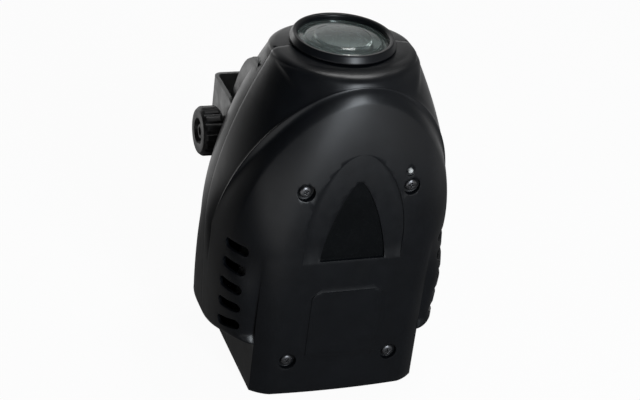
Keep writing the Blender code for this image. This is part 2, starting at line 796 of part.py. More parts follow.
def label_half_width(z):
    drop = max(z - (LABEL_TOP_Z - LABEL_ROUND), 0)
    return LABEL_HALF - LABEL_ROUND + math.sqrt(max(LABEL_ROUND**2 - drop**2, 0))


def vent_cutters():
    """Round-ended slots across the pods' rounded front corners, more slanted towards the foot."""
    bm = bmesh.new()
    for z, drop in zip(VENT_FRONT_Z, VENT_REAR_DROP):
        for side in (-1, 1):
            start = Vector((side * VENT_FRONT[0], VENT_FRONT[1], z))
            end = Vector((side * VENT_REAR[0], VENT_REAR[1], z - drop))
            along_slot = (end - start).normalized()
            outward = Vector((side * (end.y - start.y), -abs(end.x - start.x), 0)).normalized()
            upward = along_slot.cross(outward) * side * -1
            half = (end - start).length / 2 - VENT_HEIGHT / 2
            outline = circle(VENT_HEIGHT / 2, 5, (half, 0), -math.pi / 2, math.pi)
            outline += circle(VENT_HEIGHT / 2, 5, (-half, 0), math.pi / 2, math.pi)
            slot = prism(outline, -VENT_REACH, VENT_REACH + 2 * MM)
            frame = Matrix((along_slot, upward, outward)).transposed().to_4x4()
            frame.translation = (start + end) / 2
            bmesh.ops.transform(slot, matrix=frame, verts=slot.verts)
            bmesh.ops.recalc_face_normals(slot, faces=slot.faces)
            mesh = bpy.data.meshes.new("slot")
            slot.to_mesh(mesh)
            bm.from_mesh(mesh)
            slot.free()
            bpy.data.meshes.remove(mesh)
    return helper("vent_slots", bm)


def panel_bosses(name, place):
    """Bosses inside the base walls for the screws of the base panel, and their holes."""
    x, y = place
    low, high = PANEL_Z + SHEET + GAP, PANEL_BOSS_TOP_Z
    ends = [((s * x, y, low), (s * x, y, high)) for s in (-1, 1)]
    bosses = rods(f"{name}_bosses", ends, PANEL_BOSS_RADIUS, 12)
    bores = [((s * x, y, low - MM), (s * x, y, high - 4 * MM)) for s in (-1, 1)]
    return bosses, rods(f"{name}_boss_holes", bores, PANEL_SCREW_RADIUS + GAP, 10)


def front_cover():
    cover = solid("front_cover", front_skin(), black_plastic())
    wall = cover.modifiers.new("wall", "SOLIDIFY")
    wall.thickness = WALL
    wall.offset = -1
    wall.use_even_offset = True
    end_y = CHASSIS_FRONT_Y - GAP
    for i, (x, z) in enumerate(front_screw_places()):
        post = surface_post(x, z, end_y, face_y, WALL / 2, POST_RADIUS)
        join(cover, helper(f"front_post_{i + 1}", post))
    bosses, boss_holes = panel_bosses("front", PANEL_SCREW_FRONT)
    join(cover, bosses)
    label = face_slab(
        [LABEL_LOW_Z, (LABEL_LOW_Z + LABEL_TOP_Z) / 2]
        + [LABEL_TOP_Z - LABEL_ROUND * (1 - math.sin(math.radians(a))) for a in (0, 30, 60, 90)],
        label_half_width,
        -LABEL_RISE,
        WALL / 2,
    )
    join(cover, helper("label_field", label))

    def window_half(z, grow=0.0):
        low, top = WINDOW_LOW_Z - grow, WINDOW_TOP_Z + grow
        return arch_half_width(z, low, top, WINDOW_HALF + grow, WINDOW_POWER)

    backing = face_slab(
        spread(WINDOW_LOW_Z - 3 * MM, WINDOW_TOP_Z + 3 * MM, 8),
        lambda z: window_half(z, 3 * MM),
        WALL / 2,
        WALL + WINDOW_BACKING,
    )
    join(cover, helper("window_backing", backing))
    low, top = ARCH_RECESS_LOW_Z, ARCH_RECESS_TOP_Z
    recess = face_slab(
        tip_levels(low - 6 * MM, top, 12),
        lambda z: arch_half_width(z, low, top, ARCH_RECESS_HALF, ARCH_POWER, 0.25),
        -3 * MM,
        lambda z: ARCH_RECESS_DEPTH - 1.4 * MM * (1 - smooth(low - 6 * MM, low + 12 * MM, z)),
    )
    cut(cover, helper("arch_recess", recess))
    levels = tip_levels(WINDOW_LOW_Z, WINDOW_TOP_Z, 9)
    window = face_slab(levels, window_half, -4 * MM, WINDOW_DEPTH)
    cut(cover, helper("window_recess", window))
    counterbores, holes = screw_holes("front", front_screw_places(), face_y, -1, end_y)
    lens_axis = [((0, 0, TOP_Z - 12 * MM), (0, 0, TOP_Z + 12 * MM))]
    lens_hole = rods("front_lens_hole", lens_axis, LENS_HOLE_RADIUS, 48)
    x, y, z = LAMP_X, face_y(LAMP_X, LAMP_Z), LAMP_Z
    lamp_hole = rods("lamp_hole", [((x, y - 6 * MM, z), (x, y + 8 * MM, z))], LAMP_RADIUS + GAP, 14)
    lamp_sink = rods("lamp_sink", [((x, y - 6 * MM, z), (x, y + 0.8 * MM, z))], 2 * LAMP_RADIUS, 16)
    for cutter in (counterbores, holes, lens_hole, lamp_sink, lamp_hole, boss_holes, vent_cutters()):
        cut(cover, cutter)
    return cover


# Rear shell


def cheek_reach(z):
    """How far back the flat cheek reaches at a height."""
    return along(CHEEK_REACH, z) * MM


def cheek(side):
    """A cheek that falls from its flat outer plane in a rounded slope to the shell's back."""
    heights = spread(CHEEK_REACH[0][0] * MM, CHEEK_REACH[-1][0] * MM, 14)
    plane, start = CHEEK_X + GAP, 4 * MM
    rings = []
    for z in heights:
        reach = cheek_reach(z)
        foot = 0.7 * reach
        ring = [Vector((side * CHEEK_FOOT_X, start, z)), Vector((side * plane, start, z))]
        ring.append(Vector((side * plane, reach, z)))
        for share in (0.3, 0.65, 1):
            x = plane + (CHEEK_FOOT_X - plane) * share
            ring.append(Vector((side * x, reach + (foot - reach) * share**1.6, z)))
        rings.append(ring)
    return loft(rings)


def pivot_rods(name, low, high, radius, steps):
    """Cylinders on the yoke's axis, one on each side."""
    ends = [((s * low, PIVOT_Y, PIVOT_Z), (s * high, PIVOT_Y, PIVOT_Z)) for s in (-1, 1)]
    return rods(name, ends, radius, steps)


def rear_cover():
    cover = solid("rear_cover", rear_outside(), black_plastic())
    for side, name in ((-1, "left"), (1, "right")):
        join(cover, helper(f"cheek_{name}", cheek(side)))
    cut(cover, pivot_rods("yoke_pockets", CHEEK_X, 2 * CHEEK_X, POCKET_RADIUS, 40))
    hollow = helper("rear_hollow", rear_inside())
    cut(hollow, pivot_rods("pocket_walls", CHEEK_X - WALL, 2 * CHEEK_X, POCKET_RADIUS + WALL, 40))
    cut(hollow, pivot_rods("pivot_bosses", PIVOT_BOSS_X, CHEEK_X, PIVOT_BOSS_RADIUS, 18))
    cut(cover, hollow)
    start_y = CHASSIS_REAR_Y + GAP
    for i, (x, z) in enumerate(rear_screw_places()):
        post = surface_post(x, z, start_y, rear_y, -WALL / 2, POST_RADIUS)
        join(cover, helper(f"rear_post_{i + 1}", post))
    bosses, boss_holes = panel_bosses("rear", PANEL_SCREW_REAR)
    join(cover, bosses)
    counterbores, holes = screw_holes("rear", rear_screw_places(), rear_y, 1, start_y)
    lens_axis = [((0, 0, TOP_Z - 12 * MM), (0, 0, TOP_Z + 12 * MM))]
    lens_hole = rods("rear_lens_hole", lens_axis, LENS_HOLE_RADIUS, 48)
    inserts = pivot_rods("insert_holes", INSERT_INNER_X - GAP, CHEEK_X + MM, INSERT_RADIUS + GAP, 16)
    for cutter in (counterbores, holes, lens_hole, boss_holes, inserts):
        cut(cover, cutter)
    return cover


# Fasteners and indicator


def cross_recess(radius, depth):
    """A cross-head driver recess, tapering inwards."""
    arm, web = radius * 0.62, radius * 0.13
    outline = [(web, web), (web, arm), (-web, arm), (-web, web), (-arm, web), (-arm, -web)]
    outline += [(-web, -web), (-web, -arm), (web, -arm), (web, -web), (arm, -web), (arm, web)]
    bm = prism(outline, -depth, MM)
    for vert in bm.verts:
        if vert.co.z < 0:
            vert.co.x *= 0.5
            vert.co.y *= 0.5
    return bm


def screw_mesh(head_radius, head_height, radius, length, steps):
    """A cross-head screw on its own Z axis, its head above the origin."""
    profile = [(0, -length), (radius, -length), (radius, 0), (head_radius, 0)]
    profile += [(head_radius, head_height * 0.55), (head_radius * 0.7, head_height), (0, head_height)]
    blank = solid("screw_blank", turned(profile, steps), steel())
    cutter = helper("cross_recess", cross_recess(head_radius, head_height * 0.6), at(0, 0, head_height))
    cut(blank, cutter)
    mesh = baked(blank)
    bpy.data.objects.remove(cutter)
    return mesh


def case_screws():
    mesh = screw_mesh(SCREW_HEAD_RADIUS, SCREW_HEAD_HEIGHT, SCREW_RADIUS, SCREW_LENGTH, 12)
    for i, (x, z) in enumerate(front_screw_places()):
        y = face_y(x, z) + COUNTERBORE_DEPTH - GAP
        copy_of(mesh, f"case_screw_{i + 1}", facing(x, y, z, (0, -1, 0)))
    for i, (x, z) in enumerate(rear_screw_places()):
        y = rear_y(x, z) - COUNTERBORE_DEPTH + GAP
        copy_of(mesh, f"rear_screw_{i + 1}", facing(x, y, z, (0, 1, 0)))


def panel_screws():
    head = 2.0 * MM
    length = PANEL_BOSS_TOP_Z - PANEL_Z - 8 * MM
    mesh = screw_mesh(2.8 * MM, head, PANEL_SCREW_RADIUS, length, 8)
    places = [(s * x, y) for x, y in (PANEL_SCREW_FRONT, PANEL_SCREW_REAR) for s in (-1, 1)]
    for i, (x, y) in enumerate(places):
        copy_of(mesh, f"panel_screw_{i + 1}", facing(x, y, PANEL_Z - GAP, (0, 0, -1)))


def status_lamp():
    y = face_y(LAMP_X, LAMP_Z)
    dome = [(LAMP_RADIUS * math.cos(a), LAMP_RADIUS * math.sin(a)) for a in (0, 0.6, 1.1)]
    profile = [(0, -6 * MM), (LAMP_RADIUS, -6 * MM)] + dome + [(0, LAMP_RADIUS)]
    solid("status_lamp", turned(profile, 16), glass(), facing(LAMP_X, y + 0.6 * MM, LAMP_Z, (0, -1, 0)))


# Lens


def lens_top_z():
    return TOP_Z + GAP + 0.7 * MM


def lens_bezel():
    low, top = TOP_Z + GAP - SKIRT_DEPTH, TOP_Z + GAP + COLLAR_HEIGHT
    lip = lens_top_z() + 2 * GAP
    bore, outside = LENS_RADIUS + GAP, LENS_HOLE_RADIUS - GAP
    profile = [(bore, low), (outside, low), (outside, TOP_Z + GAP), (COLLAR_RADIUS, TOP_Z + GAP)]
    profile += [(COLLAR_RADIUS, TOP_Z + GAP + MM), (COLLAR_TOP_RADIUS, top - 0.8 * MM)]
    profile += [(COLLAR_TOP_RADIUS - 0.6 * MM, top), (COLLAR_BORE + 0.9 * MM, top - 0.2 * MM)]
    profile += [(COLLAR_BORE, top - MM), (COLLAR_BORE, lip), (bore, lip)]
    return solid("lens_bezel", turned(profile, 36), black_plastic())


def objective_lens():
    top = lens_top_z()
    inner = COLLAR_BORE - GAP
    profile = [(0, top - LENS_EDGE), (LENS_RADIUS, top - LENS_EDGE), (LENS_RADIUS, top)]
    profile += [(inner * math.cos(a), top + LENS_DOME * math.sin(a)) for a in (0, 0.35, 0.75, 1.15)]
    profile.append((0, top + LENS_DOME))
    return solid("objective_lens", turned(profile, 32), glass())


def seal_top_z():
    return lens_top_z() - LENS_EDGE - GAP


def lens_seal():
    top = seal_top_z()
    inner = LENS_RADIUS - BARREL_WALL
    profile = [(inner, top - SEAL), (LENS_RADIUS, top - SEAL), (LENS_RADIUS, top), (inner, top)]
    return solid("lens_seal", turned(profile, 24), rubber())


# Flower wheel


def ring_top_z():
    return BARREL_FLANGE_Z - 2 * GAP - BUSHING_FLANGE


def shoulder_z():
    return ring_top_z() - RING_SHOULDER_DEPTH


def ledge_z():
    """The ledge in the gear ring over the flower disc."""
    return shoulder_z() - CLIP - 4 * GAP


def lens_barrel():
    top = seal_top_z() - SEAL - GAP
    wide, cone_low, cone_high = LENS_RADIUS, BARREL_FLANGE_Z + BARREL_FLANGE, BARREL_FLANGE_Z + 13 * MM
    inner = wide - BARREL_WALL
    clip_z = shoulder_z() - GAP - CLIP
    groove = SPIGOT_RADIUS - 0.8 * MM
    outer, flange = SPIGOT_RADIUS, BARREL_FLANGE_RADIUS
    profile = [(SPIGOT_BORE, clip_z - 0.8 * MM), (SPIGOT_BORE, cone_low), (inner, cone_high), (inner, top)]
    profile += [(wide, top), (wide, cone_high), (SPIGOT_BORE + BARREL_WALL + 1.5 * MM, cone_low)]
    profile += [(flange, cone_low), (flange, BARREL_FLANGE_Z), (outer, BARREL_FLANGE_Z)]
    profile += [(outer, shoulder_z()), (groove, shoulder_z()), (groove, clip_z - GAP), (outer, clip_z - GAP)]
    profile.append((outer, clip_z - 0.8 * MM))
    return solid("lens_barrel", turned(profile, 24), dark_plastic())


def tooth_outline(teeth, module, start=0.0):
    """A spur gear's outline, four points a tooth; start turns it by a share of a tooth."""
    tip, root = teeth * module / 2 + module, teeth * module / 2 - 1.25 * module
    pitch = math.tau / teeth
    points = []
    for i in range(teeth):
        a = (i + start) * pitch
        for radius, turn in ((root, -0.32), (tip, -0.12), (tip, 0.12), (root, 0.32)):
            points.append((radius * math.cos(a + turn * pitch), radius * math.sin(a + turn * pitch)))
    return points


def gear_ring():
    top = ring_top_z()
    low = top - RING_HEIGHT
    ring = solid("gear_ring", prism(tooth_outline(RING_TEETH, GEAR_MODULE), low, top), white_plastic())
    bearing = SPIGOT_RADIUS + GAP + BUSHING + GAP
    profile = [(0, low - MM), (FLOWER_DISC_RADIUS + GAP, low - MM), (FLOWER_DISC_RADIUS + GAP, ledge_z())]
    profile += [(CLIP_RADIUS + GAP, ledge_z()), (CLIP_RADIUS + GAP, shoulder_z()), (bearing, shoulder_z())]
    profile += [(bearing, top + MM), (0, top + MM)]
    cut(ring, helper("ring_bore", turned(profile, 36)))
    return ring


def petal(angle, low, high):
    """One petal-shaped opening, pointed towards the middle."""
    near, far, half = 6.5 * MM, 22.0 * MM, 4.8 * MM
    steps = 5
    side = []
    for i in range(1, steps):
        share = i / steps
        side.append((near + (far - near) * share, half * math.sin(math.pi * share**1.4) ** 0.8))
    points = [(near, 0)] + [(r, -w) for r, w in side] + [(far, 0)] + [(r, w) for r, w in reversed(side)]
    c, s = math.cos(angle), math.sin(angle)
    return prism([(r * c - w * s, r * s + w * c) for r, w in points], low, high)


def merge(parts):
    """Several bodies in one mesh, which stay apart."""
    whole = bmesh.new()
    for bm in parts:
        mesh = bpy.data.meshes.new("body")
        bm.to_mesh(mesh)
        whole.from_mesh(mesh)
        bm.free()
        bpy.data.meshes.remove(mesh)
    return whole


def flower_disc():
    top = ledge_z() - GAP
    low = top - FLOWER_DISC
    profile = [(0, low), (FLOWER_DISC_RADIUS, low), (FLOWER_DISC_RADIUS, top), (0, top)]
    disc = solid("flower_disc", turned(profile, 32), zinc_sheet())
    openings = [petal(math.tau * i / PETALS, low - MM, top + MM) for i in range(PETALS)]
    openings.append(prism(circle(3.5 * MM, 12), low - MM, top + MM))
    cut(disc, helper("petal_openings", merge(openings)))
    return disc


def open_ring(name, inner, outer, low, thickness, material):
    """A spring ring with a gap, as circlips have."""
    gap = math.radians(24)
    turn = math.tau - gap
    outline = circle(outer, 20, (0, 0), gap / 2, turn)
    outline += reversed(circle(inner, 20, (0, 0), gap / 2, turn))
    return solid(name, prism(outline, low, low + thickness), material)


def wheel_rings():
    """The spring ring under the disc and the retaining ring in the barrel's groove."""
    disc_low = ledge_z() - GAP - FLOWER_DISC
    wide = FLOWER_DISC_RADIUS
    clip = open_ring("disc_clip", wide - 2 * MM, wide, disc_low - GAP - CLIP, CLIP, steel())
    low = shoulder_z() - GAP - CLIP
    open_ring("bushing_clip", SPIGOT_RADIUS - 0.5 * MM, CLIP_RADIUS, low, CLIP, steel())
    return clip


def wheel_bushing():
    inner = SPIGOT_RADIUS + GAP
    low, top = shoulder_z() + 0.2 * MM, BARREL_FLANGE_Z - GAP
    profile = [(inner, low), (inner + BUSHING, low), (inner + BUSHING, top - BUSHING_FLANGE)]
    profile += [(BUSHING_FLANGE_RADIUS, top - BUSHING_FLANGE), (BUSHING_FLANGE_RADIUS, top), (inner, top)]
    return solid("wheel_bushing", turned(profile, 24), brass())


def motor_x():
    return (RING_TEETH + PINION_TEETH) * GEAR_MODULE / 2 + 0.1 * MM


def wheel_motor():
    top = WHEEL_SHELF_Z - GAP
    boss_top = WHEEL_SHELF_Z + SHEET + 1.3 * MM
    bore = SHAFT_RADIUS + GAP
    profile = [(0, top - MOTOR_HEIGHT), (MOTOR_RADIUS, top - MOTOR_HEIGHT), (MOTOR_RADIUS, top)]
    profile += [(MOTOR_BOSS_RADIUS, top), (MOTOR_BOSS_RADIUS, boss_top), (bore, boss_top)]
    profile += [(bore, top - 6 * MM), (0, top - 6 * MM)]
    return solid("wheel_motor", turned(profile, 24), steel(), at(motor_x(), 0, 0))


def motor_pinion():
    """The pinion with its shaft; half a tooth turned, so that it meshes with the ring."""
    top = ring_top_z() - MM
    low = top - 8 * MM
    middle = (low + top) / 2
    gear = prism(tooth_outline(PINION_TEETH, GEAR_MODULE, 0.5), low - middle, top - middle)
    pinion = solid("motor_pinion", gear, brass(), at(motor_x(), 0, middle))
    shaft_low = WHEEL_SHELF_Z - GAP - 5 * MM
    shaft = bmesh.new()
    add_rod(shaft, (0, 0, shaft_low - middle), (0, 0, 0), SHAFT_RADIUS, 12)
    join(pinion, helper("pinion_shaft", shaft, at(motor_x(), 0, middle)))
    return pinion


def barrel_posts():
    low, high = WHEEL_SHELF_Z + SHEET + GAP, BARREL_FLANGE_Z - GAP
    for i, degrees in enumerate(BARREL_POST_ANGLES):
        a = math.radians(degrees)
        bm = bmesh.new()
        add_rod(bm, (0, 0, low), (0, 0, high), BARREL_POST_RADIUS, 6)
        place = at(BARREL_POST_REACH * math.cos(a), BARREL_POST_REACH * math.sin(a), 0)
        solid(f"barrel_post_{i + 1}", bm, brass(), place)


# Light engine


def led_board():
    low = LED_SHELF_Z
    bm = turned([(0, low), (LED_BOARD_RADIUS, low), (LED_BOARD_RADIUS, low + BOARD), (0, low + BOARD)], 24)
    return solid("led_board", bm, white_plastic())


def led_emitter():
    """The LED: a square carrier under a dome."""
    low = LED_SHELF_Z + BOARD + GAP
    bm = bmesh.new()
    half, height, dome = 7.0 * MM, 1.6 * MM, 4.8 * MM
    add_box(bm, (-half, -half, low), (half, half, low + height))
    emitter = solid("led_emitter", bm, glass())
    angles = [math.radians(a) for a in (0, 30, 60)]
    profile = [(0, low + height / 2), (dome, low + height / 2)]
    profile += [(dome * math.cos(a), low + height + 0.8 * dome * math.sin(a)) for a in angles]
    profile.append((0, low + height + 0.8 * dome))
    join(emitter, helper("led_dome", turned(profile, 16)))
    return emitter


def condenser():
    low = LED_SHELF_Z + SHEET + GAP
    seat = low + 8.2 * MM
    lens_low = seat + GAP
    wide = CONDENSER_RADIUS + GAP
    outer, top, step = CONDENSER_HOLDER_RADIUS, low + 15 * MM, low + 2.2 * MM
    narrow = wide - 2.5 * MM
    profile = [(wide, low), (outer, low), (outer, top), (wide, top), (wide, seat)]
    profile += [(narrow, seat), (narrow, step), (wide, step)]
    solid("condenser_holder", turned(profile, 28), dark_plastic())
    edge, dome = 2.7 * MM, 5 * MM
    profile = [(0, lens_low), (CONDENSER_RADIUS, lens_low), (CONDENSER_RADIUS, lens_low + edge)]
    angles = [0.4, 0.8, 1.2]
    profile += [(CONDENSER_RADIUS * math.cos(a), lens_low + edge + dome * math.sin(a)) for a in angles]
    profile.append((0, lens_low + edge + dome))
    solid("condenser_lens", turned(profile, 28), glass())


def heatsink():
    top = LED_SHELF_Z - GAP
    low = top - HEATSINK_BASE
    foot = low - FIN_LENGTH
    half = HEATSINK / 2
    pitch = (HEATSINK - FIN) / (FIN_COUNT - 1)
    outline = [(half, top), (-half, top)]
    for i in range(FIN_COUNT):
        x = -half + i * pitch
        outline += [(x, low if i else top), (x, foot), (x + FIN, foot), (x + FIN, low)]
    outline[2:3] = []
    outline[-1:] = []
    bm = bmesh.new()
    face = bm.faces.new([bm.verts.new((x, -half, z)) for x, z in outline])
    moved = bmesh.ops.extrude_face_region(bm, geom=[face])
    verts = [item for item in moved["geom"] if isinstance(item, bmesh.types.BMVert)]
    bmesh.ops.translate(bm, verts=verts, vec=(0, HEATSINK, 0))
    bmesh.ops.recalc_face_normals(bm, faces=bm.faces)
    return solid("heatsink", bm, aluminium())


def fan_top_z():
    return LED_SHELF_Z - GAP - HEATSINK_BASE - FIN_LENGTH - GAP


def fan_frame():
    top = fan_top_z()
    low = top - FAN_HEIGHT
    half, spoke = FAN / 2, 2.2 * MM
    bm = bmesh.new()
    add_box(bm, (-half, -half, low), (half, half, top))
    frame = solid("fan_frame", bm, dark_plastic())
    cut(frame, rods("fan_bore", [((0, 0, low - MM), (0, 0, top + MM))], FAN_BORE_RADIUS, 28))
    join(frame, rods("fan_hub_plate", [((0, 0, low), (0, 0, low + 2 * MM))], FAN_HUB_RADIUS, 16))
    for i, (x, y) in enumerate(((half - MM, spoke / 2), (spoke / 2, half - MM))):
        arm = bmesh.new()
        add_box(arm, (-x, -y, low + 0.2 * MM), (x, y, low + 1.8 * MM))
        join(frame, helper(f"fan_spoke_{i + 1}", arm))
    corner = half - 5 * MM
    places = [(x, y) for x in (-corner, corner) for y in (-corner, corner)]
    ends = [((x, y, low - MM), (x, y, top + MM)) for x, y in places]
    cut(frame, rods("fan_screw_holes", ends, 2.1 * MM, 8))
    return frame


def fan_blade(angle, low, high):
    """A twisted blade from inside the hub to near the frame."""
    thickness, sweep = 1.2 * MM, math.radians(34)
    sections = []
    for radius in (FAN_HUB_RADIUS - 1.5 * MM, FAN_BORE_RADIUS * 0.68, FAN_BORE_RADIUS - MM):
        start = Vector((radius * math.cos(angle), radius * math.sin(angle), low))
        end = Vector((radius * math.cos(angle + sweep), radius * math.sin(angle + sweep), high - thickness))
        lift = Vector((0, 0, thickness))
        sections.append([start, end, end + lift, start + lift])
    return loft(sections)


def fan_rotor():
    top = fan_top_z() - MM
    low = top - FAN_HEIGHT + 3.5 * MM
    middle = (low + top) / 2
    profile = [(0, low - middle), (FAN_HUB_RADIUS, low - middle), (FAN_HUB_RADIUS, top - MM - middle)]
    profile += [(FAN_HUB_RADIUS - MM, top - middle), (0, top - middle)]
    rotor = solid("fan_rotor", turned(profile, 16), black_plastic(), at(0, 0, middle))
    start, end = low + MM - middle, top - 1.5 * MM - middle
    blades = [fan_blade(math.tau * i / FAN_BLADES, start, end) for i in range(FAN_BLADES)]
    join(rotor, helper("fan_blades", merge(blades), at(0, 0, middle)))
    return rotor


# Chassis


def plate(name, low, high, material):
    bm = bmesh.new()
    add_box(bm, low, high)
    return solid(name, bm, material)


def chassis_low_z():
    return PANEL_Z + SHEET + GAP


def chassis_front():
    near, far = CHASSIS_FRONT_Y, CHASSIS_FRONT_Y + SHEET
    low, high = (-CHASSIS_HALF, near, chassis_low_z()), (CHASSIS_HALF, far, CHASSIS_TOP_Z)
    body = plate("chassis_front", low, high, zinc_sheet())
    studs = [((x, far - MM, z), (x, CONTROL_BOARD_Y - GAP, z)) for x, z in control_studs()]
    join(body, rods("control_studs", studs, STUD_RADIUS, 8))
    holes = [((x, near - MM, z), (x, far + MM, z)) for x, z in front_screw_places()]
    cut(body, rods("chassis_front_holes", holes, SCREW_RADIUS + GAP, 10))
    windows = bmesh.new()
    for z in (97 * MM, 107 * MM, 117 * MM):
        add_box(windows, (-24 * MM, near - MM, z), (24 * MM, far + MM, z + 6 * MM))
    cut(body, helper("chassis_front_slots", windows))
    return body


def chassis_rear():
    far, near = CHASSIS_REAR_Y, CHASSIS_REAR_Y - SHEET
    low, high = (-CHASSIS_HALF, near, chassis_low_z()), (CHASSIS_HALF, far, CHASSIS_TOP_Z)
    body = plate("chassis_rear", low, high, zinc_sheet())
    holes = [((x, near - MM, z), (x, far + MM, z)) for x, z in rear_screw_places()]
    cut(body, rods("chassis_rear_holes", holes, SCREW_RADIUS + GAP, 10))
    notch = bmesh.new()
    half = math.sqrt(BARREL_FLANGE_RADIUS**2 - near**2) + 5 * MM
    add_box(notch, (-half, near - MM, BARREL_FLANGE_Z - 3.5 * MM), (half, far + MM, CHASSIS_TOP_Z + MM))
    cut(body, helper("barrel_notch", notch))
    return body


def shelf_ends():
    return CHASSIS_FRONT_Y + SHEET + GAP, CHASSIS_REAR_Y - SHEET - GAP


def shelf(name, half, z, hole_radius):
    """A shelf between the chassis plates, its ends bent down."""
    front, back = shelf_ends()
    body = plate(name, (-half, front, z), (half, back, z + SHEET), zinc_sheet())
    for i, (low, high) in enumerate(((front, front + SHEET), (back - SHEET, back))):
        bm = bmesh.new()
        inset = CHASSIS_HALF - 0.4 * MM
        add_box(bm, (-inset, low, z - FLANGE_DROP), (inset, high, z + SHEET / 2))
        join(body, helper(f"{name}_flange_{i + 1}", bm))
    cut(body, rods(f"{name}_hole", [((0, 0, z - MM), (0, 0, z + SHEET + MM))], hole_radius, 32))
    return body


def led_shelf():
    return shelf("led_shelf", CHASSIS_HALF, LED_SHELF_Z, LED_BOARD_RADIUS + 2 * GAP)


def wheel_shelf():
    body = shelf("wheel_shelf", WHEEL_SHELF_HALF, WHEEL_SHELF_Z, LIGHT_HOLE_RADIUS)
    reach = motor_x() + MOTOR_RADIUS + 4 * MM
    width = MOTOR_RADIUS + 5 * MM
    tongue = bmesh.new()
    low, high = WHEEL_SHELF_Z, WHEEL_SHELF_Z + SHEET
    add_box(tongue, (WHEEL_SHELF_HALF - 2 * MM, -width, low), (reach, width, high))
    join(body, helper("motor_tongue", tongue))
    place = ((motor_x(), 0, WHEEL_SHELF_Z - MM), (motor_x(), 0, WHEEL_SHELF_Z + SHEET + MM))
    cut(body, rods("motor_boss_hole", [place], MOTOR_BOSS_RADIUS + GAP, 16))
    return body


# Electronics


def control_studs():
    low, high = CONTROL_BOARD_Z
    return [(s * (CONTROL_BOARD_HALF - 4 * MM), z) for s in (-1, 1) for z in (low + 4 * MM, high - 4 * MM)]


def board_with_parts(name, low, high, parts):
    """A circuit board and the block-shaped components soldered to it."""
    board = plate(name, low, high, board_green())
    for i, (a, b) in enumerate(parts):
        bm = bmesh.new()
        add_box(bm, a, b)
        join(board, helper(f"{name}_part_{i + 1}", bm))
    return board


def control_board():
    low, high = CONTROL_BOARD_Z
    y = CONTROL_BOARD_Y
    top = y + BOARD
    parts = [
        ((-9 * MM, top - 0.4 * MM, low + 14 * MM), (9 * MM, top + 2.4 * MM, low + 27 * MM)),
        ((-23 * MM, top - 0.4 * MM, low + 16 * MM), (-16 * MM, top + 6 * MM, low + 31 * MM)),
        ((13 * MM, top - 0.4 * MM, low + 8 * MM), (22 * MM, top + 5 * MM, low + 16 * MM)),
    ]
    half = CONTROL_BOARD_HALF
    return board_with_parts("control_board", (-half, y, low), (half, top, high), parts)


def power_board():
    low = POWER_BOARD_Z
    top = low + BOARD
    front, back = POWER_BOARD_Y
    parts = [
        ((4 * MM, 4 * MM, top - 0.4 * MM), (22 * MM, 12 * MM, top + 9 * MM)),
        ((-30 * MM, front + 4 * MM, top - 0.4 * MM), (-12 * MM, front + 11 * MM, top + 8 * MM)),
    ]
    return board_with_parts("power_board", (-CHASSIS_HALF, front, low), (CHASSIS_HALF, back, top), parts)


def transformer():
    low = POWER_BOARD_Z + BOARD + GAP
    body = plate("transformer", (-33 * MM, -21 * MM, low), (-3 * MM, 5 * MM, low + 20 * MM), dark_plastic())
    bm = bmesh.new()
    add_box(bm, (-27 * MM, -23.5 * MM, low + 4 * MM), (-9 * MM, 7.5 * MM, low + 16 * MM))
    join(body, helper("transformer_winding", bm))
    return body


def bulk_capacitor():
    low = POWER_BOARD_Z + BOARD + GAP
    profile = [(0, low), (8 * MM, low), (8 * MM, low + 17 * MM), (7 * MM, low + 18 * MM), (0, low + 18 * MM)]
    return solid("bulk_capacitor", turned(profile, 18), black_plastic(), at(22 * MM, -20 * MM, 0))


# Base and connections


def base_panel():
    """The closing panel, set up inside the base rim of both shells."""
    inset = WALL + 0.4 * MM
    corner_x, corner_y = BASE_HALF_WIDTH - inset, BASE_CORNER_Y + 0.569 * inset
    edge_x, edge_y = PANEL_HALF - 0.275 * inset, face_y(PANEL_HALF, 0) + inset
    front = [(corner_x, corner_y), (corner_x, 0)]
    back = rear_ring(0, corner_x, rear_depth(0) - inset, along(REAR_POWER, 0), 0, 12)
    outline = [(-edge_x, edge_y), (edge_x, edge_y)] + front + [(p.x, p.y) for p in back[1:-1]]
    outline += [(-corner_x, 0), (-corner_x, corner_y)]
    panel = solid("base_panel", prism(outline, PANEL_Z, PANEL_Z + SHEET), zinc_sheet())
    studs = [((x, y, PANEL_Z + SHEET / 2), (x, y, POWER_BOARD_Z - GAP)) for x, y in BOARD_STUDS]
    join(panel, rods("board_studs", studs, STUD_RADIUS, 8))
    low, high = PANEL_Z - MM, PANEL_Z + SHEET + MM
    x, y = INLET
    half_x, half_y = INLET_SIZE[0] / 2 + GAP, INLET_SIZE[1] / 2 + GAP
    openings = bmesh.new()
    add_box(openings, (x - half_x, y - half_y, low), (x + half_x, y + half_y, high))
    for i in range(4):
        slot_y = 11 * MM + i * 6 * MM
        add_box(openings, (-28 * MM, slot_y, low), (28 * MM, slot_y + 3 * MM, high))
    cut(panel, helper("panel_openings", openings))
    cut(panel, rods("fuse_hole", [((*FUSE, low), (*FUSE, high))], FUSE_RADIUS + GAP, 16))
    cut(panel, rods("pot_hole", [((*POT, low), (*POT, high))], POT_BUSH_RADIUS + GAP, 14))
    cut(panel, rods("sound_hole", [((*MICROPHONE, low), (*MICROPHONE, high))], 1.2 * MM, 8))
    places = [(s * px, py) for px, py in (PANEL_SCREW_FRONT, PANEL_SCREW_REAR) for s in (-1, 1)]
    holes = [((px, py, low), (px, py, high)) for px, py in places]
    cut(panel, rods("panel_screw_holes", holes, PANEL_SCREW_RADIUS + GAP, 10))
    return panel


